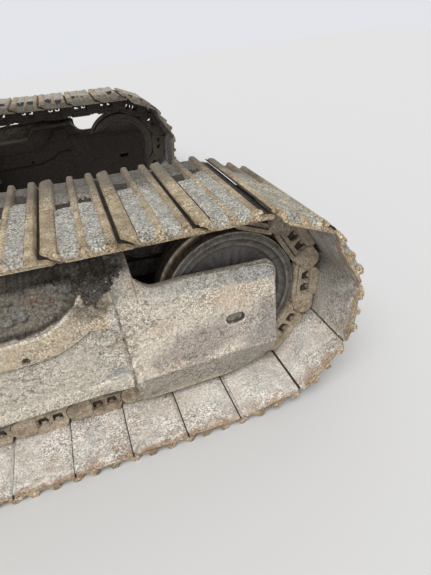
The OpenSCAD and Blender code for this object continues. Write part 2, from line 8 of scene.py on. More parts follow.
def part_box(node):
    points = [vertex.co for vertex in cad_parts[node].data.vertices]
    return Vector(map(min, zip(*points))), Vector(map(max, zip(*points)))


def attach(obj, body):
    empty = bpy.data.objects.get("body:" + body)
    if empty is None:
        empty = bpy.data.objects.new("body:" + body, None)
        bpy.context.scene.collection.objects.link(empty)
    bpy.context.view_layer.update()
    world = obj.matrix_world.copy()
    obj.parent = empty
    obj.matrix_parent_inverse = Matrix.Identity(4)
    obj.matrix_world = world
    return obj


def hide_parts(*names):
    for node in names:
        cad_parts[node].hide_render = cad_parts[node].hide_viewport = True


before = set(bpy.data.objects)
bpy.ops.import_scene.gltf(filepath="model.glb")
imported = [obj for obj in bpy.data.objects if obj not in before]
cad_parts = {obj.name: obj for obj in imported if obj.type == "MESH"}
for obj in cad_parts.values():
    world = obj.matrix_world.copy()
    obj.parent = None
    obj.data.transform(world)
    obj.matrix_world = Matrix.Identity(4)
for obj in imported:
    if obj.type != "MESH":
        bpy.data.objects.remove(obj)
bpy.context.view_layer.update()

print("stage: frame loaded")

# The vector noise would start from the clock otherwise
noise.seed_set(12)

# Each side of the machine and the sign of its outer side along Y
sides = {"right": -1, "left": 1}


def boxMiddle(node):
    low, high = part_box(node)
    return [(a + b) / 2 for a, b in zip(low, high)]


idlerAt = boxMiddle("right_idler")
sprocketAt = boxMiddle("right_sprocket")
trackMiddle = abs(idlerAt[1])

# The photograph's camera: place from the idler's middle, turns in radians, lens in mm
photoView = {
    "alongFromIdler": -0.3943,
    "across": -2.4669,
    "height": 1.2305,
    "azimuth": 0.276,
    "down": 0.569,
    "roll": -0.117,
    "lens": 27.17,
    "sensor": 36,
    "nearest": 0.02,
}


def makeCamera(view):
    az, down, roll = view["azimuth"], view["down"], view["roll"]
    ahead = Vector((math.sin(az) * math.cos(down), math.cos(az) * math.cos(down), -math.sin(down)))
    right = ahead.cross(Vector((0, 0, 1))).normalized()
    up = right.cross(ahead)
    turnedRight = math.cos(roll) * right + math.sin(roll) * up
    turnedUp = -math.sin(roll) * right + math.cos(roll) * up
    camera = bpy.data.objects.new("camera", bpy.data.cameras.new("camera"))
    bpy.context.scene.collection.objects.link(camera)
    matrix = Matrix((turnedRight, turnedUp, -ahead)).transposed().to_4x4()
    matrix.translation = Vector((idlerAt[0] + view["alongFromIdler"], view["across"], view["height"]))
    camera.matrix_world = matrix
    camera.data.sensor_width = view["sensor"]
    camera.data.lens = view["lens"]
    camera.data.clip_start = view["nearest"]
    bpy.context.scene.camera = camera


makeCamera(photoView)


def earthColour(red, green, blue):
    # A colour as read off a picture, 0 to 255, made linear
    return np.array([((c / 255 + 0.055) / 1.055) ** 2.4 for c in (red, green, blue)])


class NodeBoard:
    # Short ways to add and link shader nodes on one material
    def __init__(self, name):
        self.material = bpy.data.materials.new(name)
        self.material.use_nodes = True
        self.tree = self.material.node_tree
        self.shader = self.tree.nodes["Principled BSDF"]
        self.place = self.add("ShaderNodeTexCoord").outputs["Object"]

    def add(self, kind, inputs=(), **settings):
        node = self.tree.nodes.new(kind)
        for key, value in settings.items():
            setattr(node, key, value)
        for key, value in dict(inputs).items():
            self.feed(node.inputs[key], value)
        return node

    def feed(self, socket, value):
        if isinstance(value, bpy.types.NodeSocket):
            self.tree.links.new(value, socket)
        elif isinstance(value, (tuple, list)) and len(value) == 3 and socket.type == "RGBA":
            socket.default_value = (*value, 1)
        else:
            socket.default_value = value

    def noise(self, scale, detail=4, rough=0.6, squeeze=(1, 1, 1), warp=0.0):
        place = self.place
        if squeeze != (1, 1, 1):
            place = self.add("ShaderNodeMapping", {"Vector": place, "Scale": squeeze}).outputs[0]
        node = self.add("ShaderNodeTexNoise", {
            "Vector": place, "Scale": scale, "Detail": detail, "Roughness": rough, "Distortion": warp})
        return node.outputs["Fac"]

    def cells(self, scale):
        # One random grey for each grain
        node = self.add("ShaderNodeTexVoronoi", {"Vector": self.place, "Scale": scale})
        return self.add("ShaderNodeSeparateColor", {0: node.outputs["Color"]}).outputs[0]

    def stretch(self, value, low, high, least, most):
        return self.add("ShaderNodeMapRange", {0: value, 1: low, 2: high, 3: least, 4: most})

    def ramp(self, value, low, high):
        node = self.stretch(value, low, high, 0.0, 1.0)
        node.interpolation_type = "SMOOTHSTEP"
        return node.outputs[0]

    def maths(self, operation, a, b=0.0):
        return self.add("ShaderNodeMath", {0: a, 1: b}, operation=operation).outputs[0]

    def times(self, a, b):
        return self.maths("MULTIPLY", a, b)

    def blend(self, parts):
        # Parts are (value, weight)
        total = self.times(*parts[0])
        for value, weight in parts[1:]:
            total = self.maths("ADD", total, self.times(value, weight))
        return total

    def mix(self, amount, a, b, way="MIX"):
        node = self.add("ShaderNodeMix", data_type="RGBA", blend_type=way)
        self.feed(node.inputs["Factor"], amount)
        self.feed(node.inputs["A"], a)
        self.feed(node.inputs["B"], b)
        return node.outputs["Result"]

    def wash(self, colour, amount, share, shade):
        # Lays a shade, given 0 to 255, over a colour
        return self.mix(self.times(amount, share), colour, tuple(earthColour(*shade)))

    def across(self):
        # Distance from the machine's middle plane
        return self.maths("ABSOLUTE", self.add("ShaderNodeSeparateXYZ", {0: self.place}).outputs[1])

    def heightOver(self, low, high):
        return self.ramp(self.add("ShaderNodeSeparateXYZ", {0: self.place}).outputs[2], low, high)

    def facingUp(self, low, high):
        normal = self.add("ShaderNodeNewGeometry").outputs["Normal"]
        return self.ramp(self.add("ShaderNodeSeparateXYZ", {0: normal}).outputs[2], low, high)

    def bump(self, layers):
        # Layers are (height, distance in metres), stacked from coarse to fine
        normal = None
        for height, distance in layers:
            inputs = {"Height": height, "Distance": distance, "Strength": 1.0}
            if normal is not None:
                inputs["Normal"] = normal
            normal = self.add("ShaderNodeBump", inputs).outputs[0]
        self.feed(self.shader.inputs["Normal"], normal)

    def done(self, colour, rough):
        self.feed(self.shader.inputs["Base Color"], colour)
        self.feed(self.shader.inputs["Roughness"], rough)
        return self.material


# Grit on every finish. Scales are shares of the finish's own speck scale
specks = {
    "coarse": (0.30, 2, 0.6),
    "middle": (0.66, 1, 0.5),
    "fine": (1.1, 2, 0.8),
    "weights": (0.15, 0.60, 0.25),
    "swing": 7.2,
    "shade": (-0.66, 0.55, 0.34, 1.55),
    "crackScale": 0.15,
    "crackWidth": (0.020, 0.003),
    "crackShare": 0.85,
    "crackColour": (0.07, 0.06, 0.05),
    "pitScale": 0.5,
    "pitShare": 0.7,
    "pitColour": (0.06, 0.052, 0.044),
}


def addSpecks(board, colour, speck, contrast):
    # Grit in three sizes, the coarsest of which still shows from a few metres away
    coarse, middle, fine = (board.noise(speck * scale, detail, rough) for scale, detail, rough in
                            (specks["coarse"], specks["middle"], specks["fine"]))
    tone = board.blend(list(zip((coarse, middle, fine), specks["weights"])))
    patch = board.stretch(board.noise(7, 3, 0.6), 0.42, 0.58, 0.45, 1.0).outputs[0]
    swing = board.times(board.maths("SUBTRACT", tone, 0.5), board.times(patch, specks["swing"] * contrast))
    shade = board.stretch(swing, *specks["shade"]).outputs[0]
    grey = board.add("ShaderNodeCombineColor", {0: shade, 1: shade, 2: shade}).outputs[0]
    colour = board.mix(1.0, colour, grey, "MULTIPLY")
    # Hair cracks where noise crosses its middle
    hair = board.noise(speck * specks["crackScale"], 4, 0.7, (0.8, 1, 1.25), 0.7)
    away = board.maths("ABSOLUTE", board.maths("SUBTRACT", hair, 0.5))
    crackShare = board.times(patch, specks["crackShare"] * contrast)
    cracked = board.times(board.ramp(away, *specks["crackWidth"]), crackShare)
    colour = board.mix(cracked, colour, specks["crackColour"])
    pits = board.ramp(board.noise(speck * specks["pitScale"], 1, 0.5), 0.66, 0.72)
    colour = board.mix(board.times(pits, specks["pitShare"] * contrast), colour, specks["pitColour"])
    return colour, coarse, fine


# Steel and paint under dust and stains. Scales are per metre, bump heights in metres, colours 0 to 255.
# Inward is how much darker it gets towards the machine's middle, between the two reaches: damp dirt and
# painted shade of the machine above
earthFinishes = {
    "barSteel": {
        "metal": (136, 118, 90), "dust": (184, 168, 138), "stain": (148, 108, 68),
        "dustShare": (0.40, 0.62), "stainShare": (0.55, 0.68), "patch": 10, "speck": 300, "contrast": 0.85,
        "height": 0.0011, "rough": (0.62, 0.92), "inward": 0.60, "reach": (1.20, 1.02)},
    "plateInside": {
        "metal": (206, 197, 184), "dust": (230, 223, 211), "stain": (192, 170, 148),
        "dustShare": (0.42, 0.58), "stainShare": (0.55, 0.66), "patch": 8, "speck": 260, "contrast": 0.62,
        "height": 0.0007, "rough": (0.7, 0.92), "inward": 0.9, "reach": (1.19, 1.10), "ends": True},
    "chainSteel": {
        "metal": (136, 119, 98), "dust": (186, 171, 148), "stain": (138, 104, 76),
        "dustShare": (0.38, 0.58), "stainShare": (0.54, 0.68), "patch": 14, "speck": 300, "contrast": 0.5,
        "height": 0.0012, "rough": (0.6, 0.95), "inward": 0.9, "reach": (1.19, 1.11), "greasy": 0.42},
    "framePaint": {
        "metal": (168, 158, 144), "dust": (196, 186, 170), "stain": (140, 124, 110),
        "dustShare": (0.36, 0.6), "stainShare": (0.58, 0.72), "patch": 5, "speck": 280, "contrast": 0.6,
        "height": 0.0009, "rough": (0.7, 0.95), "inward": 0.98, "reach": (1.19, 1.09), "deep": (22, 18, 15),
        "sheen": 0.12},
    # Dark paint, made darker still as painted shade of the machine's underside
    "darkPaint": {
        "metal": (46, 44, 43), "dust": (92, 84, 74), "stain": (78, 62, 50),
        "dustShare": (0.46, 0.66), "stainShare": (0.62, 0.76), "patch": 4, "speck": 240, "contrast": 0.5,
        "height": 0.0006, "rough": (0.45, 0.92), "settled": 0.75},
    "wheelIron": {
        "metal": (88, 84, 80), "dust": (122, 114, 104), "stain": (124, 90, 60),
        "dustShare": (0.46, 0.72), "stainShare": (0.57, 0.72), "patch": 9, "speck": 300, "contrast": 0.5,
        "height": 0.0004, "rough": (0.38, 0.85), "inward": 0.7, "reach": (1.19, 1.10)},
    "ringSteel": {
        "metal": (118, 114, 110), "dust": (132, 124, 114), "stain": (104, 82, 62),
        "dustShare": (0.50, 0.72), "stainShare": (0.6, 0.74), "patch": 8, "speck": 300, "contrast": 0.35,
        "height": 0.0002, "rough": (0.35, 0.8), "settled": 0.4},
}
dampEarthAndShade = (46, 40, 35)
chainUpperTone = (64, 55, 47)


def shoeEndsAndShade(board, colour, middle):
    # Painted shade: the plate's inside darkens with height, on the shoes that stand up round the wheels and
    # face down along the top
    colour = board.wash(colour, board.heightOver(0.11, 0.44), 0.78, (120, 116, 109))
    cool = board.ramp(board.noise(6, 5, 0.65, warp=0.5), 0.50, 0.62)
    colour = board.wash(colour, cool, 0.50, (184, 185, 180))
    # Towards the outer ends: dried white splashes, brown stains, then rust along the very edge
    reach = board.across()
    white = board.times(board.ramp(reach, 1.37, 1.46), board.ramp(middle, 0.50, 0.60))
    colour = board.wash(colour, white, 0.65, (224, 222, 214))
    spoiled = board.ramp(board.noise(16, 5, 0.75, warp=0.6), 0.47, 0.56)
    colour = board.wash(colour, board.times(board.ramp(reach, 1.40, 1.485), spoiled), 0.65, (146, 116, 92))
    rust = board.times(board.ramp(reach, 1.470, 1.491), board.ramp(middle, 0.40, 0.52))
    return board.wash(colour, rust, 0.75, (166, 130, 94))


def earthFinish(name):
    look = earthFinishes[name]
    board = NodeBoard(name)
    metal, dust, stain = (tuple(earthColour(*look[key])) for key in ("metal", "dust", "stain"))
    broad = board.noise(look["patch"], 6, 0.65, warp=0.4)
    middle = board.noise(look["patch"] * 4.3, 5, 0.7)
    dusty = board.ramp(board.blend([(broad, 0.7), (middle, 0.3)]), *look["dustShare"])
    colour = board.mix(dusty, metal, dust)
    stained = board.ramp(board.noise(look["patch"] * 1.7, 6, 0.7, warp=0.8), *look["stainShare"])
    colour = board.mix(board.times(stained, 0.7), colour, stain)
    if "greasy" in look:
        # The chain is darker on its upper half, under the top run of shoes
        colour = board.wash(colour, board.heightOver(0.28, 0.66), look["greasy"], chainUpperTone)
    if "settled" in look:
        up = board.times(board.facingUp(0.35, 0.95), board.ramp(middle, 0.40, 0.56))
        colour = board.mix(board.times(up, look["settled"]), colour, dust)
    if "inward" in look:
        # Darker towards the machine's middle: damp dirt and painted shade of the machine above
        dirtAndShadeInward = board.ramp(board.across(), *look["reach"])
        colour = board.wash(colour, dirtAndShadeInward, look["inward"], look.get("deep", dampEarthAndShade))
    if "ends" in look:
        colour = shoeEndsAndShade(board, colour, middle)
    colour, coarse, fine = addSpecks(board, colour, look["speck"], look["contrast"])
    rough = board.stretch(dusty, 0.0, 1.0, *look["rough"]).outputs[0]
    height = look["height"]
    board.bump([(middle, height * 3), (coarse, height * 2.5), (fine, height * 0.7)])
    if "sheen" in look:
        board.shader.inputs["Specular IOR Level"].default_value = look["sheen"]
    return board.done(colour, rough)


def gravelMud(name, pale, dark, grit, harsh, relief=1.0):
    # Packed mud full of grit: pale and dark grains over a lumpy bed, harsh tells them apart
    board = NodeBoard(name)
    pale, dark = tuple(earthColour(*pale)), tuple(earthColour(*dark))
    lumps = board.noise(22, 6, 0.72)
    grains = board.cells(grit)
    colour = board.mix(board.ramp(lumps, 0.40, 0.60), dark, pale)
    light = board.times(board.ramp(grains, 0.74, 0.92), harsh)
    colour = board.mix(light, colour, tuple(min(0.9, c * 1.7) for c in pale))
    deep = board.times(board.ramp(grains, 0.30, 0.10), harsh)
    colour = board.mix(deep, colour, tuple(c * 0.3 for c in dark))
    # Darker towards the machine's middle: damp dirt and painted shade of the machine above
    colour = board.wash(colour, board.ramp(board.across(), 1.20, 0.98), 0.7, (64, 57, 50))
    colour, coarse, fine = addSpecks(board, colour, 300, 0.80)
    board.bump([(lumps, 0.0020 * relief), (coarse, 0.0018 * relief), (grains, 0.0022 * harsh * relief),
                (fine, 0.0012 * relief)])
    return board.done(colour, 0.95)


def paintedEarth(name, speck, contrast):
    # The base colour is painted on the vertices; its alpha says how stony the place is
    board = NodeBoard(name)
    paint = board.add("ShaderNodeAttribute", attribute_name="paint")
    colour, coarse, fine = addSpecks(board, paint.outputs["Color"], speck, contrast)
    stony = paint.outputs["Alpha"]
    small, large = board.cells(speck * 0.42), board.cells(speck * 0.17)
    for grains, pale, deep, amount in ((small, 0.84, 0.26, 0.75), (large, 0.93, 0.10, 0.85)):
        light = board.times(stony, board.ramp(grains, pale, min(0.99, pale + 0.08)))
        colour = board.wash(colour, light, amount, (176, 172, 164))
        dark = board.times(stony, board.ramp(grains, deep, deep * 0.5))
        colour = board.wash(colour, dark, amount, (26, 25, 25))
    lumps = board.noise(speck * 0.10, 5, 0.75)
    board.bump([(lumps, 0.0024), (coarse, 0.0013), (board.times(stony, large), 0.006),
                (board.times(stony, small), 0.003), (fine, 0.0013)])
    return board.done(colour, 0.93)


print("stage: finishes")
barSteel = earthFinish("barSteel")
plateInside = earthFinish("plateInside")
chainSteel = earthFinish("chainSteel")
framePaint = earthFinish("framePaint")
darkPaint = earthFinish("darkPaint")
wheelIron = earthFinish("wheelIron")
ringSteel = earthFinish("ringSteel")
channelMud = gravelMud("channelMud", (166, 163, 152), (146, 142, 130), 210, 0.45)
bedMud = gravelMud("bedMud", (150, 146, 135), (120, 115, 104), 210, 0.4)
# Dark mud for the pits between the bars, its darkness painted shade
pitMud = gravelMud("pitMud", (58, 49, 41), (32, 27, 23), 150, 0.3)
edgeMud = gravelMud("edgeMud", (196, 182, 160), (172, 142, 110), 150, 0.2)
# Dark dirt in gaps, grooves, joints and the chain's insides, its darkness painted shade
gapDirt = gravelMud("gapDirt", (70, 62, 54), (40, 35, 31), 150, 0.2)
# Dark packed mud behind the notch, its darkness painted shade
packedMud = gravelMud("packedMud", (120, 111, 106), (86, 80, 77), 120, 0.2)
crustEarth = paintedEarth("crustEarth", 300, 0.60)
wheelPaint = paintedEarth("wheelPaint", 300, 0.35)


# Value noise on arrays of points, for shapes and for painted vertices
def latticeNoise(points, scale, seed):
    place = np.asarray(points, dtype=float) * scale + seed * 17.31
    cell = np.floor(place).astype(np.int64)
    part = place - cell
    part = part * part * (3 - 2 * part)
    total = 0
    for corner in range(8):
        step = np.array([corner & 1, corner >> 1 & 1, corner >> 2 & 1])
        spot = cell + step
        mixed = (spot[..., 0] * 73856093) ^ (spot[..., 1] * 19349663)
        mixed = mixed ^ (spot[..., 2] * 83492791) ^ (seed * 2654435)
        mixed = (mixed ^ (mixed >> 13)) * 1274126177
        value = ((mixed >> 7) & 0xFFFF) / 0x7FFF - 1
        total = total + value * np.prod(np.where(step == 1, part, 1 - part), axis=-1)
    return total


def fractal(points, scale, octaves, seed, fade=0.55):
    total, share, whole = 0, 1.0, 0.0
    for k in range(octaves):
        total = total + share * latticeNoise(points, scale * 2.03 ** k, seed + k)
        whole += share
        share *= fade
    return total / whole


def ramp(value, low, high):
    t = np.clip((np.asarray(value, dtype=float) - low) / (high - low), 0, 1)
    return t * t * (3 - 2 * t)


def newHeap():
    return {"verts": [], "faces": [], "slots": []}


def pour(heap, verts, faces, slots, matrix):
    start = len(heap["verts"])
    heap["verts"] += [matrix @ Vector(v) for v in verts]
    heap["faces"] += [tuple(i + start for i in f) for f in faces]
    heap["slots"] += slots if isinstance(slots, list) else [slots] * len(faces)


def placePiece(name, verts, faces, body, materials, sharp=None, replaces=(), slots=None,
               paint=None):
    # Sharp is the angle in degrees above which edges stay hard, paint is a colour for each vertex
    mesh = bpy.data.meshes.new(name)
    mesh.from_pydata(verts, [], faces)
    if paint is not None:
        layer = mesh.color_attributes.new("paint", "FLOAT_COLOR", "POINT")
        layer.data.foreach_set("color", paint.reshape(-1))
    for material in materials:
        mesh.materials.append(material)
    if slots:
        mesh.polygons.foreach_set("material_index", slots)
    mesh.shade_smooth()
    if sharp:
        mesh.set_sharp_from_angle(angle=math.radians(sharp))
    piece = bpy.data.objects.new(name, mesh)
    bpy.context.scene.collection.objects.link(piece)
    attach(piece, body)
    if replaces:
        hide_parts(*replaces)


def placeHeap(name, heap, materials, sharp, replaces=(), mirrored=False):
    faces = [f[::-1] for f in heap["faces"]] if mirrored else heap["faces"]
    placePiece(name, heap["verts"], faces, "undercarriage", materials, sharp, replaces,
               heap["slots"])


def tubeFaces(rows, n, start=0, flipped=False):
    # Quads between rings of n points that follow each other
    faces = []
    for k in range(rows):
        for j in range(n):
            a, b = start + k * n + j, start + k * n + (j + 1) % n
            faces.append((a, a + n, b + n, b) if flipped else (a, b, b + n, a + n))
    return faces


def gridFaces(count, width, flipped):
    # Quads over a grid of points, numbered row by row
    index = np.arange(count * width).reshape(count, width)
    a, b, c, d = index[:-1, :-1], index[1:, :-1], index[1:, 1:], index[:-1, 1:]
    return np.stack([a, d, c, b] if flipped else [a, b, c, d], -1).reshape(-1, 4).tolist()


def rounded(points, radius, steps=1):
    # Rounds each corner of a closed outline
    out = []
    count = len(points)
    for i in range(count):
        before, here, after = Vector(points[i - 1]), Vector(points[i]), Vector(points[(i + 1) % count])
        a, b = before - here, after - here
        reach = min(radius, a.length * 0.4, b.length * 0.4)
        start, end = here + a.normalized() * reach, here + b.normalized() * reach
        for k in range(steps + 1):
            t = k / steps
            out.append(((1 - t) ** 2 * start + 2 * t * (1 - t) * here + t ** 2 * end)[:])
    return out


# The chain's loop, in metres: pins round the idler and the sprocket and over the carrier rollers
loop = {
    "pitch": 0.190,
    "count": 49,
    "seatUnderPin": 0.052,
    "railOverPin": 0.053,
    "plate": 0.011,
    "bar": 0.022,
    "treadRadius": 0.234,
    "treadGap": 0.003,
    "sprocketTeeth": 21,
    "carrierBack": (1.180, 1.240),
    "carrierPinHeight": (0.745, 0.742),
    "sag": 0.005,
    "firstPinBack": 0.416,
}


def loopPins(size):
    pitch = size["pitch"]
    pinHeight = size["plate"] + size["bar"] + size["seatUnderPin"]
    idlerRadius = math.hypot(size["treadRadius"] + size["treadGap"] + size["railOverPin"], pitch / 2)
    sprocketRadius = pitch / 2 / math.sin(2 * math.pi / size["sprocketTeeth"])
    idler = Vector((idlerAt[0], pinHeight + idlerRadius))
    sprocket = Vector((sprocketAt[0], pinHeight + sprocketRadius))
    over = [Vector((idler.x - size["carrierBack"][0], size["carrierPinHeight"][0])),
            Vector((sprocket.x + size["carrierBack"][1], size["carrierPinHeight"][1]))]

    def tangent(centre, radius, point, side):
        away = point - centre
        return math.atan2(away.y, away.x) + side * math.acos(radius / away.length)

    def onWheel(centre, radius, angle):
        return centre + radius * Vector((math.cos(angle), math.sin(angle)))

    def chordRatio(radius):
        return 2 * radius * math.asin(pitch / 2 / radius) / pitch

    a1 = tangent(idler, idlerRadius, over[0], -1)
    a2 = tangent(sprocket, sprocketRadius, over[1], 1)
    t1, t2 = onWheel(idler, idlerRadius, a1), onWheel(sprocket, sprocketRadius, a2)
    start = Vector((idler.x - size["firstPinBack"], pinHeight))
    foot, heel = Vector((idler.x, pinHeight)), Vector((sprocket.x, pinHeight))
    sag = size["sag"]
    # Straight stretches are (length, from, to, sag), arcs (length, centre, radius, first and last angle)
    segments = [
        ((foot - start).length, start, foot, 0),
        (idlerRadius * (a1 + math.pi / 2) / chordRatio(idlerRadius), idler, idlerRadius, -math.pi / 2, a1),
        ((over[0] - t1).length, t1, over[0], sag),
        ((over[1] - over[0]).length, over[0], over[1], sag),
        ((t2 - over[1]).length, over[1], t2, sag),
        (sprocketRadius * (1.5 * math.pi - a2) / chordRatio(sprocketRadius), sprocket, sprocketRadius, a2,
         1.5 * math.pi),
        ((start - heel).length, heel, start, 0)]
    pins = []
    for i in range(size["count"]):
        u = i * pitch
        for k, segment in enumerate(segments):
            if u <= segment[0] or k == len(segments) - 1:
                break
            u -= segment[0]
        t = u / segment[0]
        if len(segment) == 4:
            dip = Vector((0, 4 * segment[3] * t * (1 - t)))
            pins.append(segment[1].lerp(segment[2], t) - dip)
        else:
            pins.append(onWheel(segment[1], segment[2], segment[3] + t * (segment[4] - segment[3])))
    return pins


pins = loopPins(loop)


def linkMatrix(i, outerSign):
    # A link's own frame: x along the link, y towards the outer side, z towards the inside of the loop
    here, after = pins[i], pins[(i + 1) % len(pins)]
    along = (after - here).normalized()
    x = Vector((along.x, 0, along.y))
    y = Vector((0, outerSign, 0))
    z = Vector((-along.y, 0, along.x))
    matrix = Matrix((x, y, z)).transposed().to_4x4()
    matrix.translation = Vector((here.x, outerSign * trackMiddle, here.y))
    return matrix


def bendAfter(i):
    # How far the loop turns at a link's far pin, in degrees
    here, after, then = pins[i], pins[(i + 1) % len(pins)], pins[(i + 2) % len(pins)]
    return math.degrees(abs((after - here).angle_signed(then - after)))


# Track shoes: a plate with three bars, its lip under the next shoe, its corners cut, its ends chewed
shoe = {
    "width": 0.600,
    "tip": -0.044,
    "lap": 0.034,
    "bars": ((0.001, 0.027), (0.070, 0.090), (0.136, 0.180)),
    "cornerAlong": 0.027,
    "cornerAcross": 0.024,
    "lipCut": 0.026,
    "corner": 0.0035,
    "waver": 0.0012,
    "endStations": (0.0, 0.002, 0.008, 0.016),
    "innerStations": (-0.24, -0.19, -0.14, -0.09, -0.04, 0.01, 0.06, 0.11, 0.16, 0.21),
    "endRound": 0.0022,
    "chew": 0.007,
    "deepestChew": 0.005,
    "openBend": 24,
    "filledBend": 8,
    "dirt": ((0.160, -0.0745), (0.190, -0.0775), (0.190, -0.0800), (0.160, -0.0790)),
    "dirtHalf": 0.273,
}
seatLine = -loop["seatUnderPin"]
plateLine = seatLine - loop["plate"]
barLine = plateLine - loop["bar"]
shoeEdge = shoe["tip"] + shoe["lap"] + loop["pitch"]


def shoeProfile():
    tip, edge, pitch = shoe["tip"], shoeEdge, loop["pitch"]
    low, mid, high = shoe["bars"]
    points = [
        (tip, seatLine + 0.001), (tip + 0.012, seatLine + 0.0005), (tip + 0.026, seatLine),
        (tip + pitch - 0.022, seatLine), (tip + pitch - 0.0060, seatLine - 0.0073),
        (tip + pitch, plateLine + 0.001), (edge - 0.015, plateLine - 0.007), (edge, plateLine - 0.0095),
        (edge, barLine + 0.005), (edge - 0.005, barLine), (high[0] + 0.005, barLine),
        (high[0] - 0.002, plateLine),
        (mid[1] + 0.004, plateLine), (mid[1] - 0.001, barLine), (mid[0] + 0.001, barLine),
        (mid[0] - 0.004, plateLine), (low[1] + 0.004, plateLine), (low[1] - 0.002, barLine),
        (low[0] + 0.004, barLine), (low[0] - 0.002, plateLine + 0.001), (tip + 0.018, plateLine + 0.004),
        (tip, plateLine + 0.0075)]
    return rounded(points, shoe["corner"])


def makeShoe(seed, bent):
    profile = shoeProfile()
    half, deep = shoe["width"] / 2, shoe["cornerAcross"]
    rng = random.Random(seed)
    outer = [-half + s for s in shoe["endStations"] + (deep,)]
    stations = outer + list(shoe["innerStations"]) + [-s for s in reversed(outer)]
    offset = Vector((rng.uniform(0, 50), rng.uniform(0, 50), rng.uniform(0, 50)))
    verts = []
    for k, y in enumerate(stations):
        over = max(0.0, abs(y) - (half - deep)) / deep
        highX = shoeEdge - over * shoe["cornerAlong"]
        lowX = shoe["tip"] + max(0.0, over - 0.45) * shoe["lipCut"]
        atEnd = k in (0, len(stations) - 1)
        endRound = shoe["endRound"] if atEnd else 0.0
        for x, z in profile:
            px = min(max(x, lowX), highX)
            wave = noise.noise_vector(Vector((px * 12, y * 7, z * 20)) + offset) * shoe["waver"]
            # Bites of a few millimetres out of the ends of plate and bars
            chew = abs(noise.noise(Vector((px * 38, z * 30, seed * 3.1)))) * shoe["chew"] if atEnd else 0.0
            push = -math.copysign(min(chew, shoe["deepestChew"]), y) if atEnd else 0.0
            lift = math.copysign(endRound, z - (seatLine - loop["plate"] / 2))
            verts.append((px + wave.x, y + push, z + wave.z - lift))
    n = len(profile)
    faces = tubeFaces(len(stations) - 1, n, 0, True)
    faces.append(tuple(range(n)))
    faces.append(tuple(reversed(range((len(stations) - 1) * n, len(stations) * n))))
    return verts, faces, [shoeSlot([verts[i] for i in face], bent) for face in faces]


def shoeSlot(corners, bent):
    # 0 bar steel, 1 the plate's inside, 2 dark dirt, painted shade. Where the loop bends the joint itself is
    # the dark line, elsewhere the groove between two shoes is; the gap under the tip is dark too
    x, y, z = (sum(corner[k] for corner in corners) / len(corners) for k in range(3))
    half, seam = shoe["width"] / 2, shoe["tip"] + loop["pitch"]
    if abs(y) > half - 0.0015:
        return 0
    groove = not bent and seam - 0.0056 < x < seam + 0.001 and z > seatLine - 0.014
    uncut = abs(y) < half - shoe["cornerAcross"] - 0.004
    gap = uncut and x < shoe["bars"][0][0] - 0.001 and z < seatLine - 0.004
    inside = z > seatLine - 0.003 or x > seam - 0.022 and z > seatLine - 0.0205
    return 2 if groove or gap else 1 if inside else 0


# Mud packed between a shoe's bars: nearly flush over the outer part, then a sharp step to a rough low bed.
# Levels are shares of the bars' height
shoeMud = {
    "highLevel": 0.98,
    "lowLevel": 0.50,
    "pitLevel": 0.04,
    "risesIn": 0.05,
    "rows": 54,
    "columns": 6,
    "stepFrom": -0.02,
    "stepTo": 0.14,
    "pits": ((0.03, 0.05), (0.05, 0.08), (0.07, 0.11)),
}


def mudLevel(y, spot, step, pit, full, bare):
    edge = step + 0.014 * noise.noise(spot)
    if y < edge:
        level = full
    elif y < edge + pit:
        level = shoeMud["pitLevel"]
    else:
        rise = min(1, max(0, (y - edge - pit) / shoeMud["risesIn"]))
        level = 0.10 + (bare - 0.10) * (0.45 + 0.55 * rise if pit == 0 else rise)
    return level + 0.10 * noise.noise(spot * 1.3) + 0.07 * noise.noise(spot * 3.9)


def makeShoeMud(seed):
    # Here y runs from the shoe's outer end, at -half, to its inner end
    rng = random.Random(1000 + seed)
    half = shoe["width"] / 2
    low, mid, high = shoe["bars"]
    rows, columns = shoeMud["rows"], shoeMud["columns"]
    verts, faces, slots = [], [], []
    for x0, x1 in ((low[1] - 0.001, mid[0] + 0.001), (mid[1] - 0.001, high[0] + 0.002)):
        start = len(verts)
        levels = []
        step = rng.uniform(shoeMud["stepFrom"], shoeMud["stepTo"])
        pit = rng.choice((0.0, *[rng.uniform(*reach) for reach in shoeMud["pits"]]))
        full = rng.uniform(0.90, 1.05) * shoeMud["highLevel"]
        bare = rng.uniform(0.7, 1.3) * shoeMud["lowLevel"]
        offset = Vector((rng.uniform(0, 90), rng.uniform(0, 90), 0))
        for k in range(rows + 1):
            y = -half + 0.002 + (2 * half - 0.004) * k / rows
            for j in range(columns + 1):
                x = x0 + (x1 - x0) * j / columns
                level = mudLevel(y, Vector((x * 30, y * 30, 0)) + offset, step, pit, full, bare)
                if j in (0, columns):
                    level *= 0.92
                if k in (1, rows - 1):
                    level *= 0.72
                if k in (0, rows):
                    level = -0.05
                levels.append(level)
                verts.append((x, y, plateLine - min(1.02, max(-0.05, level)) * loop["bar"]))
        for k in range(rows):
            for j in range(columns):
                a = k * (columns + 1) + j
                faces.append(tuple(start + i for i in (a, a + columns + 1, a + columns + 2, a + 1)))
                # The deepest pits get the dark pit mud, painted shade in the pits; the low bed its own mud
                deep = min(levels[a], levels[a + columns + 2])
                slots.append(2 if deep < 0.30 and 1 < k < rows - 2 else 4 if deep < 0.72 and k > 3 else 0)
    return verts, faces, slots


# Clods of mud stuck to the outer ends of the bars and of the plate's edge
shoeClods = {
    "count": 4,
    "size": (0.004, 0.011),
    "around": 7,
}


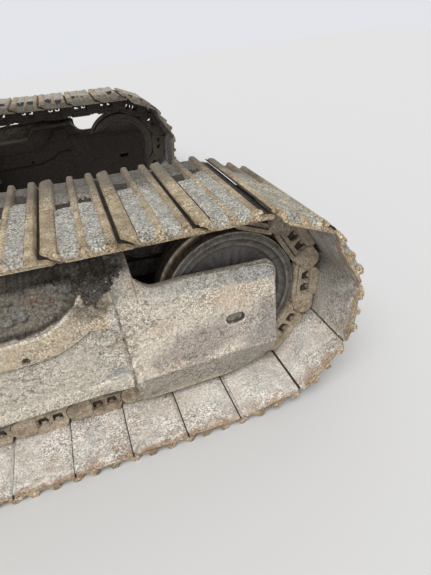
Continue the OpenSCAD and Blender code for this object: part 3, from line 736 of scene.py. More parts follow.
def clod(rng, at, radius):
    # A lumpy blob of three rings and two poles
    around = shoeClods["around"]
    verts = []
    offset = Vector((rng.uniform(0, 90), rng.uniform(0, 90), 0))
    for k in range(1, 4):
        lift = math.pi * k / 4
        for j in range(around):
            turn = 2 * math.pi * j / around
            way = Vector((math.sin(lift) * math.cos(turn), math.sin(lift) * math.sin(turn), math.cos(lift)))
            size = radius * (1 + 0.55 * noise.noise(way * 1.7 + offset))
            verts.append(at + Vector((way.x * size * 1.5, way.y * size * 0.8, way.z * size)))
    verts += [at + Vector((0, 0, radius)), at - Vector((0, 0, radius))]
    top, foot, last = 3 * around, 3 * around + 1, 2 * around
    faces = tubeFaces(2, around, 0, True)
    faces += [(j, (j + 1) % around, top) for j in range(around)]
    return verts, faces + [(last + (j + 1) % around, last + j, foot) for j in range(around)]


def makeClods(seed, heap, matrix, slot):
    rng = random.Random(5000 + seed)
    for k in range(shoeClods["count"]):
        x = min(rng.uniform(*rng.choice(shoe["bars"])), shoeEdge - 0.016)
        z = rng.uniform(barLine + 0.006, barLine + loop["bar"])
        radius = rng.uniform(*shoeClods["size"])
        y = shoe["width"] / 2 - 0.4 * radius - 0.0035
        verts, faces = clod(rng, Vector((x, y, z)), radius)
        pour(heap, verts, faces, slot, matrix)


def fillJoint(heap, matrix, slot):
    # Dark dirt closes a bent joint between a shoe's edge and the next shoe's lip, painted shade in the joint
    verts = [(x, s * shoe["dirtHalf"], z) for s in (-1, 1) for x, z in shoe["dirt"]]
    faces = [(0, 1, 2, 3), (7, 6, 5, 4), (0, 4, 5, 1), (1, 5, 6, 2), (2, 6, 7, 3), (3, 7, 4, 0)]
    pour(heap, verts, faces, slot, matrix)


print("stage: track shoes")
for side, sign in sides.items():
    heap, mud = newHeap(), newHeap()
    for i in range(loop["count"]):
        matrix = linkMatrix(i, sign)
        seed = i + (60 if side == "left" else 0)
        pour(heap, *makeShoe(seed, bendAfter(i) > shoe["openBend"]), matrix)
        verts, faces, slots = makeShoeMud(seed)
        # A side's own outer end is towards +y in the link's frame, so the mud's thick end is turned there
        pour(mud, [(x, -y, z) for x, y, z in verts], faces, slots, matrix)
        if bendAfter(i) > shoe["filledBend"]:
            fillJoint(mud, matrix, 3)
        makeClods(seed, mud, matrix, 1)
    placeHeap(side + "TrackShoes", heap, [barSteel, plateInside, gapDirt], 40,
              [side + "_track_shoes"], side == "right")
    placeHeap(side + "ShoeMud", mud, [channelMud, edgeMud, pitMud, gapDirt, bedMud], 70,
              mirrored=side == "left")

# Chain links: plates built up of rail, web, posts and foot round two windows, with eyes at the pins
link = {
    "plate": 0.034,
    "outer": 0.085,
    "inner": 0.080,
    "eye": 0.037,
    "eyeWidth": 0.020,
    "chamfer": 0.003,
    "pin": 0.019,
    "bushing": 0.030,
    "bushingHalf": 0.046,
    "nut": 0.0105,
    "nutsAt": (0.0665, 0.114),
    "posts": ((0.030, 0.050), (0.082, 0.100), (0.132, 0.150)),
    "caking": 0.0022,
}


def slab(outline, y0, y1, chamfer):
    # A plate of one outline, its long edges chamfered
    n = len(outline)
    middle = Vector((sum(p[0] for p in outline) / n, sum(p[1] for p in outline) / n))
    away = [Vector(p) - middle for p in outline]
    shrunk = [middle + a * (1 - chamfer / max(0.012, a.length)) for a in away]
    rings = [(shrunk, y0), (outline, y0 + chamfer), (outline, y1 - chamfer), (shrunk, y1)]
    verts = [(p[0], y, p[1]) for ring, y in rings for p in ring]
    return verts, tubeFaces(3, n) + [tuple(reversed(range(n))), tuple(range(3 * n, 4 * n))]


def circle(x, z, radius, steps=14, start=0.0):
    angles = [start + 2 * math.pi * k / steps for k in range(steps)]
    return [(x + radius * math.cos(a), z + radius * math.sin(a)) for a in angles]


def eyeOutline(x, rail):
    # An eye with its cheek that runs up to the rail, as one outline
    side = 1 if x == 0 else -1
    size = link["eye"] + (0.004 if side > 0 else 0)
    turns = [math.radians(112) + math.radians(140) * k / 10 for k in range(11)]
    outline = [(size * math.cos(turn), size * math.sin(turn)) for turn in turns]
    outline += [(0.034, -0.036), (0.045, -0.018), (0.048, 0.010), (0.045, rail - 0.016),
                (0.014, rail - 0.004)]
    outline = [(x + side * px, pz) for px, pz in outline]
    return outline if side > 0 else outline[::-1]


def linkParts():
    # Each part is an outline, its reach across the link and its slot: 0 caked steel, 1 the dark inside,
    # painted shade
    pitch, rail = loop["pitch"], loop["railOverPin"]
    web = [(0.030, 0.018), (pitch - 0.030, 0.018), (pitch - 0.026, 0.040), (0.026, 0.040)]
    railBar = [(0.024, 0.0375), (pitch - 0.022, 0.0375), (pitch - 0.022, 0.047), (pitch - 0.028, rail),
               (0.032, rail), (0.024, 0.047)]
    foot = [(0.030, seatLine + 0.0003), (pitch - 0.053, seatLine + 0.0003), (pitch - 0.044, -0.034),
            (pitch - 0.036, -0.017), (0.110, -0.012), (0.094, -0.020), (0.075, -0.013), (0.050, -0.020),
            (0.030, -0.018)]
    # A dark slab in the middle of the plate, painted shade behind the windows
    core = [(0.034, -0.026), (pitch - 0.040, -0.026), (pitch - 0.036, 0.026), (0.034, 0.026)]
    posts = [[(x0, -0.022), (x1, -0.022), (x1 - 0.002, 0.002), (x1 + 0.005, 0.021), (x0 - 0.005, 0.021),
              (x0 + 0.002, 0.002)] for x0, x1 in link["posts"]]
    # The dark line under the rail's edge, painted shade
    shade = [(0.040, 0.0330), (pitch - 0.036, 0.0330), (pitch - 0.036, 0.0385), (0.040, 0.0385)]
    reach, back = link["inner"], link["inner"] - link["plate"]
    end, middle = link["outer"], link["inner"] - link["plate"] / 2
    parts = [
        (rounded(railBar, 0.003), back, reach + 0.002, 0),
        (rounded(web, 0.003), back + 0.004, reach - 0.003, 0),
        (rounded(foot, 0.005), back, reach, 0),
        (shade, back + 0.004, reach - 0.0022, 1),
        (core, back + 0.011, reach - 0.014, 1)]
    parts += [(rounded(post, 0.004), back + 0.005, reach - 0.0045, 0) for post in posts]
    parts += [(eyeOutline(x, rail), out - link["eyeWidth"], out, 0)
              for x, out in ((0.0, end), (pitch, end - link["eyeWidth"] - 0.002))]
    # A dark ring round the outer eye, painted shadow under its edge
    parts.append((circle(0.0, 0.0, link["eye"] + 0.0075), end - 0.019, end - 0.006, 1))
    parts.append((circle(0.0, 0.0, link["pin"]), end - 0.012, end + 0.0012, 0))
    parts += [(circle(x, -0.016, link["nut"], 6, 0.3), middle - 0.009, middle + 0.007, 0)
              for x in link["nutsAt"]]
    # The same on the other side of the chain
    return [(outline, -y1, -y0, slot) for outline, y0, y1, slot in parts] + parts


print("stage: chains")
parts = linkParts()
for side, sign in sides.items():
    heap = newHeap()
    for i in range(loop["count"]):
        matrix = linkMatrix(i, sign)
        offset = Vector((i * 3.7, 0, 11 if sign > 0 else 0))
        for outline, y0, y1, dark in parts:
            # The dark parts are painted shade; the far chain goes without them, so its windows stay open
            if dark and side == "left":
                continue
            verts, faces = slab(outline, y0, y1, link["chamfer"])
            caked = []
            for v in verts:
                wave = noise.noise_vector(Vector(v) * 30 + offset) * link["caking"]
                caked.append((v[0] + wave.x, v[1] * 0.993, v[2] + wave.z * 0.4))
            pour(heap, caked, faces, dark, matrix)
        half = link["bushingHalf"]
        pour(heap, *slab(circle(0.0, 0.0, link["bushing"]), -half, half, 0.002), 0, matrix)
    placeHeap(side + "TrackChain", heap, [chainSteel, gapDirt], 35, [side + "_track_chain"],
              side == "left")

# Dried mud over the outer face of each side frame and its fork, one continuous skin.
# Along (u) is measured from the idler's middle, depth from the middle of the track, all in metres.
# Notch, forkHeel and forkToe are round corners: middle along, middle's height, radius
skin = {
    "rear": -3.325,
    "fineFrom": -0.86,
    "front": 0.1385,
    "fineStep": 0.0036,
    "coarseStep": 0.016,
    "rows": 150,
    "mud": 0.0016,
    "seam": -0.396,
    "face": 0.135,
    "lower": 0.123,
    "upper": 0.095,
    "lipTop": 0.2083,
    "lipBottom": 0.1763,
    "bandFoot": 0.3833,
    "bandHeight": 0.088,
    "bendRadius": 0.190,
    "bendAt": -0.662,
    "bendShares": (0.788, 0.616),
    "bendRise": 1.28,
    "notch": (-0.256, 0.592, 0.069),
    "forkHeel": (-0.354, 0.104, 0.038),
    "heelFrom": (-0.3915, 0.130),
    "forkToe": (0.058, 0.192, 0.081),
    "toeFrom": 0.096,
    "crease": 0.508,
    "creaseFall": 0.105,
    "flangeSlope": 0.863,
    "forkBend": 0.185,
    "hoodEnd": -0.3245,
    "gritContrast": 0.30,
    "seamBand": (-0.376, 0.032),
    "slot": (-0.014, 0.014, 0.332, 0.019),
    "boltHeight": 0.3973,
    "boltsAlong": (-0.686, -1.576, -2.466),
    "clods": (
        (-0.521, 0.599, 0.020), (-0.667, 0.551, 0.026), (-0.682, 0.593, 0.018), (-0.700, 0.525, 0.017),
        (-0.550, 0.602, 0.016), (-0.639, 0.620, 0.015), (-0.655, 0.530, 0.014)),
    "rustSpots": ((-0.617, 0.572, 0.019), (-0.567, 0.559, 0.017)),
    "lipCurl": ((-0.520, 0.212), (-0.463, 0.224), (-0.424, 0.229), (-0.409, 0.217), (-0.401, 0.180)),
    "heapTop": ((-3.33, 0.553), (-1.35, 0.556), (-1.05, 0.612), (-0.80, 0.632), (-0.42, 0.628),
                (-0.345, 0.616), (-0.325, 0.607)),
    "flangeTop": ((-0.256, 0.523), (-0.155, 0.521), (-0.064, 0.514), (0.035, 0.508), (0.110, 0.505),
                  (0.128, 0.500), (0.139, 0.492)),
    "forkFoot": ((-0.354, 0.066), (-0.064, 0.066), (-0.030, 0.071), (0.036, 0.088), (0.096, 0.1205)),
}


def along(u, line):
    return np.interp(u, *zip(*line))


def arc(u, middle, height, radius):
    # Lower half of a circle
    return height - np.sqrt(np.clip(radius ** 2 - (u - middle) ** 2, 0, None))


def skinTop(u):
    # Upper edge: mud on the box, the hood, the notch's round corner, then the fork's flange
    low = np.where(u < skin["notch"][0], arc(u, *skin["notch"]), along(u, skin["flangeTop"]))
    return np.where(u < skin["hoodEnd"], along(u, skin["heapTop"]), low)


def skinBottom(u):
    heelFrom, heelHeight = skin["heelFrom"]
    rear = np.where(u < heelFrom, heelHeight, arc(u, *skin["forkHeel"]))
    front = np.where(u < skin["toeFrom"], along(u, skin["forkFoot"]), arc(u, *skin["forkToe"]))
    fork = np.where(u < skin["forkHeel"][0], rear, front)
    return np.where(u < skin["seam"], skin["lipBottom"] - 0.0015, fork)


def bandEdges(u):
    # Upper and lower edge of the ledge, which bends up behind the fork
    middle = skin["bandFoot"] + skin["bandHeight"] + skin["bendRadius"]
    inner, outer = skin["bendRadius"], skin["bendRadius"] + skin["bandHeight"]
    over = np.clip(u - skin["bendAt"], 0, None)
    innerReach, outerReach = inner * skin["bendShares"][0], outer * skin["bendShares"][1]
    upper = arc(np.minimum(over, innerReach), 0, middle, inner)
    upper = upper + np.clip(over - innerReach, 0, None) * skin["bendRise"]
    return upper, arc(np.minimum(over, outerReach), 0, middle, outer)


def creaseAt(u):
    # Height of the fold between the fork's face and its flange
    return skin["crease"] - skin["creaseFall"] * (u - skin["seam"])


def oval(u, z, at, reach, most, least, ragged=0, lean=0):
    # 1 inside an oval patch, 0 well outside it
    away = np.hypot((u - at[0] - (z - at[1]) * lean) / reach[0], (z - at[1]) / reach[1])
    return ramp(away + ragged, most, least)


def stripe(away, outer, inner):
    # 1 on a line, 0 off it
    return ramp(np.abs(away), outer, inner)


def slotAway(u, z):
    middle, half, height, _ = skin["slot"]
    return np.hypot(np.clip(np.abs(u - middle) - half, 0, None), z - height)


def lineAway(u, z, points):
    # Distance from a drawn line
    away = np.full_like(u, 9.0)
    for (u0, z0), (u1, z1) in zip(points, points[1:]):
        run, rise = u1 - u0, z1 - z0
        t = np.clip(((u - u0) * run + (z - z0) * rise) / (run ** 2 + rise ** 2), 0, 1)
        away = np.minimum(away, np.hypot(u - u0 - t * run, z - z0 - t * rise))
    return away


def flat(u, z, stretch=(1, 1)):
    return np.stack([u * stretch[0], z * stretch[1], np.zeros_like(u)], -1)


def clodSwell(u, z, seed):
    # Clods of grey mud stuck in the pocket, 0 to 1
    swell = np.zeros_like(u)
    ragged = 1 + 0.45 * fractal(flat(u, z), 60, 3, seed + 66)
    for where, height, reach in skin["clods"]:
        swell = np.maximum(swell, ramp(np.hypot(u - where, z - height) * ragged / reach, 1.15, 0.5))
    return swell


def crackLines(u, z, seed):
    # Thin branching cracks where noise crosses zero, only in patches
    dragged = np.stack([u * 0.62 + z * 0.25, z * 1.25 - u * 0.18, np.zeros_like(u)], -1)
    line = stripe(fractal(dragged, 19, 4, seed + 20, 0.62), 0.034, 0.010)
    patch = ramp(fractal(flat(u, z), 5, 3, seed + 24), -0.15, 0.25)
    upper = oval(u, z, (-0.27, 0.43), (0.20, 0.10), 1.2, 0.5)
    joint = oval(u, z, (-0.43, 0.38), (0.13, 0.12), 1.1, 0.5)
    return line * np.maximum(np.maximum(patch, joint), upper)


def seamLumps(u, z, seed):
    # Lumps of mud and weld down the fork's near end, above nought for the proud ones
    middle, reach = skin["seamBand"]
    spot = flat(u, z, (1, 0.8))
    drift = 0.010 * fractal(spot, 7, 2, seed + 101)
    band = stripe(u - middle - drift, reach, reach * 0.35) * ramp(z, 0.10, 0.16) * ramp(z, 0.53, 0.48)
    return band * fractal(spot, 64, 3, seed + 105, 0.7) * 1.5


def crumbs(u, z, seed):
    # Small knobs above nought and pits below, gathered in patches and drawn out along the drag
    dragged = np.stack([u * 0.75, z * 1.2 - u * 0.15, np.zeros_like(u)], -1)
    field = latticeNoise(dragged, 120, seed + 30) + 0.5 * latticeNoise(dragged, 250, seed + 31)
    return field * (0.35 + 0.65 * ramp(fractal(dragged, 9, 3, seed + 33), -0.35, 0.30))


def frameDepth(u, z, seed):
    # The side frame: lower face, ledge, pocket above it, and the lip along the foot with its round corner
    upper, lower = bandEdges(u)
    ragged = fractal(flat(u, z), 24, 3, seed)
    upper, lower = upper + 0.0045 * ragged, lower + 0.002 * ragged
    gusset = (u > -0.520) & (z > 0.40) & (z - 0.546 < (u + 0.520) * 0.8)
    depth = np.where((z > upper) & ~gusset, skin["upper"], skin["lower"])
    depth = np.where((z >= lower) & (z <= upper), skin["face"], depth)
    corner = np.hypot(np.clip(u + 0.422, 0, None), np.clip(z - 0.186, 0, None)) < 0.022
    depth = np.where((z < skin["lipTop"]) & (u < -0.40) & corner, skin["face"], depth)
    # Mud sunk into the pocket, heaped against the hood, and packed on top of the box
    shelf = np.clip(1 - (z - upper) / 0.045, 0, 1) * 0.010
    depth = np.where(z > upper, depth + shelf, depth)
    depth = np.where(z > upper + 0.004, depth + 0.010 * clodSwell(u, z, seed), depth)
    heap = 0.036 * np.exp(-((u + 0.445) / 0.085) ** 2) * ramp(z, 0.50, 0.56) * ramp(z, 0.665, 0.60)
    wall = 0.088 - np.clip(z - 0.56, 0, None) * 0.16
    depth = np.where((z > 0.553) & (u < -0.52), np.minimum(depth, wall), depth)
    return np.where(u < -0.325, depth + np.where(z > upper, heap, heap * 0.25), depth)


def forkDepth(u, z):
    # The fork: upright face, sloping upper flange, lower flange turned in
    crease = creaseAt(u)
    fork = np.where(z > crease, skin["face"] - 0.0005 - (z - crease) * skin["flangeSlope"], skin["face"])
    fork = np.where(z < skin["forkBend"], skin["face"] - (skin["forkBend"] - z) * 0.235, fork)
    hood = (u < -0.325) & (fork < skin["upper"] + 0.004)
    return np.where(hood, skin["upper"] + 0.002, fork)


def skinDepth(u, z, seed):
    depth = np.where(u >= skin["seam"], forkDepth(u, z), frameDepth(u, z, seed))
    # The hood's own side never shows through
    under = (u > -0.712) & (u < -0.318) & (z > 0.50)
    over = skin["upper"] + 0.0022 - np.clip(z - 0.611, 0, None) * 1.5
    return np.where(under, np.maximum(depth, over), depth)


def spreadOut(field, times):
    # Widens whatever stands proud by one cell, then softens it
    for axis in (0, 1):
        field = np.maximum(field, np.maximum(np.roll(field, 1, axis), np.roll(field, -1, axis)))
    for k in range(times):
        for axis in (0, 1):
            field = 0.5 * field + 0.25 * (np.roll(field, 1, axis) + np.roll(field, -1, axis))
    return field


def skinLumps(u, z, seed):
    # How far mud, crumbs, cracks and the weld stand off the smooth skin
    spot = flat(u, z)
    rough = oval(u, z, (-0.43, 0.55), (0.12, 0.14), 1.1, 0.5)
    lumps = 0.0024 * fractal(spot, 14, 4, seed + 3) + 0.0013 * np.abs(fractal(spot, 50, 3, seed + 9))
    lumps = lumps - 0.0026 * crackLines(u, z, seed) + 0.0013 * np.clip(crumbs(u, z, seed), -1, 1)
    joint = oval(u, z, (-0.44, 0.40), (0.07, 0.06), 1.2, 0.3)
    lumps = lumps + joint * (0.010 + 0.008 * fractal(spot, 22, 3, seed + 15))
    heaped = 0.010 * fractal(spot, 26, 3, seed + 5) + 0.006 * np.abs(fractal(spot, 80, 2, seed + 6))
    lumps = lumps + rough * heaped
    grit = ramp(z - creaseAt(u), -0.004, 0.006) * (u > -0.33)
    lumps = lumps + grit * 0.0022 * np.abs(fractal(spot, 110, 2, seed + 12))
    bead = stripe(u - skin["seam"] + 0.004, 0.010, 0.0) * (z > 0.11) * (z < 0.53)
    lumps = lumps + bead * (0.0045 + 0.0045 * fractal(spot, 45, 2, seed + 14))
    lumps = lumps + 0.010 * np.clip(seamLumps(u, z, seed), -0.20, 1)
    ledge = stripe(z - bandEdges(u)[0] + 0.004, 0.010, 0.002) * (u < skin["seam"])
    return lumps + ledge * 0.004 * np.abs(fractal(spot, 55, 2, seed + 16))


class Coat:
    # Colours on a mesh's points, one wash over another, all given 0 to 255
    def __init__(self, shape, ground):
        self.tone = np.zeros(shape + (3,)) + earthColour(*ground)

    def wash(self, amount, shade):
        amount = np.asarray(amount)[..., None]
        self.tone = self.tone * (1 - amount) + earthColour(*shade) * amount

    def cover(self, coat, amount):
        self.tone = self.tone * (1 - amount[..., None]) + coat.tone * amount[..., None]

    def shade(self, factor):
        self.tone = self.tone * factor[..., None]


def ledgeCoat(u, z, broad, blotch, small, upper):
    # Tan, with orange and rusty edges and a painted highlight along the upper edge
    coat = Coat(u.shape, (196, 182, 158))
    coat.wash(ramp(blotch, 0.0, 0.55) * 0.42, (198, 166, 126))
    coat.wash(ramp(-blotch + 0.4 * small, 0.3, 0.8) * 0.7, (120, 116, 104))
    edge = stripe(z - upper + 0.004, 0.0085, 0.003)
    # Painted highlight along the upper edge
    coat.wash(edge * ramp(small, -0.6, 0.0) * 0.9, (234, 222, 204))
    coat.wash(edge * ramp(broad + small, 0.35, 0.8) * 0.7, (158, 88, 50))
    return coat


def pocketCoat(u, z, broad, blotch, small, upper, seed):
    # Brown and damp, with stones, rust spots and grey clods, painted shadows below the clods and painted
    # shade just above the ledge's upper edge
    coat = Coat(u.shape, (138, 129, 115))
    coat.wash(ramp(broad + 0.5 * blotch, 0.0, 0.5) * 0.7, (110, 101, 90))
    coat.wash(ramp(blotch, 0.45, 0.7) * 0.8, (126, 84, 54))
    coat.wash(ramp(small + 0.5 * blotch, 0.55, 0.85) * 0.8, (150, 152, 148))
    coat.wash(ramp(z, 0.60, 0.66) * 0.35, (124, 119, 110))
    for where, height, reach in skin["rustSpots"]:
        spot = oval(u, z, (where, height), (reach, reach / 1.4), 1.1, 0.3, 0.5 * small)
        coat.wash(spot * 0.7, (134, 90, 62))
    # Painted shadow: the clods shifted down and along, darkened where they stick out
    clods, under = clodSwell(u, z, seed), clodSwell(u - 0.005, z + 0.008, seed)
    coat.wash(np.clip(under - clods, 0, 1) * 0.8, (48, 44, 40))
    coat.wash(clods * ramp(small, -0.6, 0.2) * 0.75, (146, 145, 138))
    # Painted shade just above the ledge's upper edge
    coat.wash(ramp(z - upper, 0.018, 0.005) * ramp(u, -0.44, -0.50) * 0.8, (54, 47, 40))
    return coat


def clayCoat(u, z, blotch, small, seed, gritty):
    # Fork: pale clay above, a purple-brown stain low in the middle, a darker lower flange
    spot = flat(u, z)
    coat = Coat(u.shape, (212, 202, 184))
    coat.wash(ramp(blotch + 0.5 * small, 0.2, 0.75) * 0.5, (176, 158, 136))
    coat.wash(ramp(fractal(spot, 11, 4, seed + 80), 0.1, 0.5) * 0.4, (206, 178, 152))
    stain = oval(u, z, (-0.1455, 0.275), (0.17, 0.085), 1.25, 0.55, 0.55 * blotch + 0.25 * small, 0.9)
    coat.wash(stain * 0.64, (144, 131, 125))
    coat.wash(oval(u, z, (-0.03, 0.43), (0.11, 0.05), 1.2, 0.3, 0.6 * blotch) * 0.32, (206, 172, 138))
    trickle = ramp(fractal(flat(u, z, (3.2, 0.55)), 26, 3, seed + 85), 0.25, 0.6)
    coat.wash(trickle * ramp(z, 0.36, 0.30) * ramp(u, -0.25, -0.12) * 0.5, (196, 184, 172))
    front = ramp(u + 0.4 * (0.33 - z) + 0.05 * blotch, 0.0, 0.10) * ramp(z, 0.42, 0.34)
    coat.wash(front * 0.8, (146, 141, 136))
    coat.wash(ramp(z, 0.195, 0.180) * 0.8, (150, 143, 131))
    coat.wash(ramp(z, 0.088, 0.072) * 0.7, (198, 184, 160))
    dust = Coat(u.shape, (188, 187, 180))
    dust.wash(ramp(small, 0.15, 0.6) * 0.5, (160, 159, 153))
    coat.cover(dust, 0.9 * gritty)
    # Pale edges, painted highlights: the crease, the lower fold and the front; pale scratches low on the face
    broken = ramp(blotch + 0.6 * small, -0.45, 0.15)
    creaseHighlight = stripe(z - creaseAt(u) + 0.003, 0.0065, 0.002) * ramp(u, -0.16, -0.02)
    coat.wash(creaseHighlight * broken * 0.75, (226, 204, 176))
    fold = stripe(z - skin["forkBend"] - 0.002 + 0.02 * (u > 0) * u, 0.0055, 0.0015)
    coat.wash(fold * broken * 0.6, (216, 206, 190))
    coat.wash(ramp(u, skin["front"] - 0.006, skin["front"] - 0.001) * broken * 0.6, (206, 180, 150))
    scratch = stripe(fractal(flat(u, z, (2.6, 0.8)), 15, 2, seed + 88), 0.020, 0.006)
    scratch = scratch * ramp(z, 0.33, 0.27) * ramp(u, -0.22, -0.08) * ramp(z, 0.19, 0.205)
    coat.wash(scratch * 0.5, (214, 206, 196))
    return coat


def paintWeld(coat, u, z, blotch, small, seed):
    # The weld and the lumpy mud where the fork meets the frame
    weld = stripe(u - skin["seam"] - 0.004 * np.sin(z * 60), 0.014, 0.003) * (z < 0.50)
    coat.wash(weld * ramp(blotch, -0.5, 0.3) * 0.6, (158, 138, 120))
    wobble = u - skin["seam"] - 0.003 - 0.006 * fractal(flat(u, z), 24, 3, seed + 73)
    notchLine = stripe(wobble, 0.0042, 0.0014) * (z < 0.515) * ramp(small, -0.7, -0.1)
    coat.wash(notchLine * 0.55, (92, 80, 66))
    beadLine = stripe(wobble - 0.0105, 0.0055, 0.002) * (z < 0.505) * ramp(blotch + small, -0.2, 0.5)
    coat.wash(beadLine * 0.6, (216, 206, 190))
    lumpy = seamLumps(u, z, seed)
    # Pale mud on the proud lumps; brown painted shade in the hollows between them
    coat.wash(ramp(lumpy, 0.03, 0.30) * 0.62, (222, 213, 198))
    coat.wash(ramp(-lumpy, 0.03, 0.30) * 0.55, (142, 124, 104))
    coat.wash(oval(u, z, (-0.412, 0.455), (0.022, 0.055), 1.1, 0.5, 0.5 * small) * 0.7, (214, 208, 198))
    coat.wash(oval(u, z, (-0.44, 0.24), (0.05, 0.035), 1.1, 0.4, 0.6 * blotch) * 0.6, (138, 144, 144))


def paintHoles(coat, u, z):
    # The slot and the bolt holes: packed mud inside, a dark upper rim of painted shadow, a pale lower one of
    # painted highlight; the bolt holes are painted dark, painted shade in the holes
    inside = slotAway(u, z) - skin["slot"][3]
    coat.wash(ramp(inside, 0.001, -0.003) * 0.9, (132, 128, 115))
    coat.wash(stripe(inside + 0.0015, 0.0045, 0.0015) * 0.9, (44, 41, 37))
    coat.wash(stripe(inside - 0.0045, 0.003, 0.001) * (z < skin["slot"][2]) * 0.8, (232, 224, 212))
    for where in skin["boltsAlong"]:
        coat.wash(ramp(np.hypot(u - where, z - skin["boltHeight"]), 0.0135, 0.010) * 0.9, (62, 56, 48))


def skinColours(u, z, seed):
    # Colours with, as their alpha, how stony each place is
    spot = flat(u, z)
    broad, blotch = fractal(spot, 6, 4, seed + 40), fractal(spot, 22, 4, seed + 50)
    small = fractal(spot, 70, 3, seed + 60)
    upper, lower = bandEdges(u)
    seam = skin["seam"]
    # Lower face: pale mud with grey-blue and tan washes, paler along the lip
    coat = Coat(u.shape, (196, 188, 172))
    coat.wash(ramp(broad + 0.4 * blotch, 0.1, 0.6) * 0.6, (172, 164, 146))
    coat.wash(ramp(blotch + 0.5 * small, 0.35, 0.8) * 0.6, (140, 140, 134))
    coat.wash(ramp(fractal(flat(u, z, (1, 5)), 9, 4, seed + 70), 0.15, 0.6) * 0.4, (168, 148, 118))
    coat.wash(((z < skin["lipTop"] + 0.004) & (u < seam)) * 0.6, (200, 190, 172))
    band = ramp(z, lower - 0.003, lower + 0.002) * ramp(z, upper + 0.004, upper) * (u < seam)
    coat.cover(ledgeCoat(u, z, broad, blotch, small, upper), band)
    pocket = ramp(z, upper + 0.0005, upper + 0.004) * (u < seam + 0.07)
    coat.cover(pocketCoat(u, z, broad, blotch, small, upper, seed), pocket)
    # Painted shadow under the ledge's lower edge, and a painted highlight along that edge
    shadowUnderLedge = ramp(lower - z, 0.024, 0.003) * (z < lower - 0.001) * ramp(u, -0.42, -0.47)
    coat.wash(shadowUnderLedge * 0.62, (124, 119, 106))
    ledgeEdgeHighlight = stripe(z - lower - 0.002, 0.004, 0.001) * ramp(u, -0.44, -0.48)
    coat.wash(ledgeEdgeHighlight * ramp(small, -0.5, 0.2) * 0.6, (222, 206, 178))
    fork = ramp(u, seam - 0.012, seam + 0.012)
    gritty = np.clip(ramp(u, -0.36, -0.20) * 0.6 + ramp(u, -0.05, 0.05), 0, 1)
    gritty = gritty * ramp(z - creaseAt(u), -0.012, 0.004)
    coat.cover(clayCoat(u, z, blotch, small, seed, gritty), fork)
    stony = np.maximum(pocket * 0.22 * (1 - fork), fork * gritty * 0.10)
    paintWeld(coat, u, z, blotch, small, seed)
    # The dark gravel heap between pocket and fork
    heap = oval(u, z, (-0.412, 0.640), (0.072, 0.100), 1.35, 0.65, 0.45 * blotch + 0.35 * small, 0.45)
    heap = np.maximum(heap, ramp(z + 0.03 * blotch, 0.596, 0.630) * ramp(u, -0.75, -0.55) * 0.8)
    gravel = Coat(u.shape, (82, 75, 67))
    gravel.wash(ramp(blotch + 0.5 * small, 0.0, 0.5) * 0.7, (122, 113, 100))
    gravel.wash(ramp(fractal(spot, 105, 2, seed + 97), 0.22, 0.55) * 0.6, (128, 120, 110))
    coat.cover(gravel, heap)
    fringe = oval(u, z, (-0.455, 0.525), (0.075, 0.052), 1.2, 0.4, 0.5 * blotch + 0.3 * small)
    coat.wash(fringe * (1 - heap) * 0.75, (126, 115, 100))
    stony = np.maximum(stony, np.maximum(heap * 0.56, fringe * 0.30))
    hoodShade = ramp(z + 0.02 * blotch, 0.570, 0.612) * ramp(u, -0.40, -0.37) * ramp(u, -0.315, -0.330)
    coat.wash(hoodShade * 0.75, (112, 106, 97))
    whitened = oval(u, z, (-0.37625, 0.545), (0.026, 0.062), 1.1, 0.4, 0.5 * small, 0.35)
    coat.wash(whitened * 0.6, (206, 202, 192))
    curl = stripe(lineAway(u, z, skin["lipCurl"]), 0.0065, 0.002) * (u < seam + 0.002)
    coat.wash(curl * ramp(small, -0.7, 0.0) * 0.8, (226, 216, 198))
    paintHoles(coat, u, z)
    # Crumbs, cracks and grit no wider than a finger; the sunk pits are darkened as painted shade, the knobs a
    # little paler
    bits = crumbs(u, z, seed) * (1 - 0.5 * heap)
    coat.shade(1 - 0.52 * ramp(-bits, 0.38, 0.80))
    coat.shade(1 + 0.16 * ramp(bits, 0.38, 0.85))
    coat.shade(1 - 0.55 * crackLines(u, z, seed) * (1 - heap) * (1 - 0.6 * pocket))
    grit = 0.75 * latticeNoise(spot, 215, seed + 90) + 0.25 * latticeNoise(spot, 110, seed + 91)
    grit = grit * (1 + 1.1 * np.maximum(pocket, heap))
    coat.shade(np.clip(1 + skin["gritContrast"] * grit, 0.12, 2.0))
    return np.concatenate([np.clip(coat.tone, 0.004, 0.85), stony[..., None]], -1)


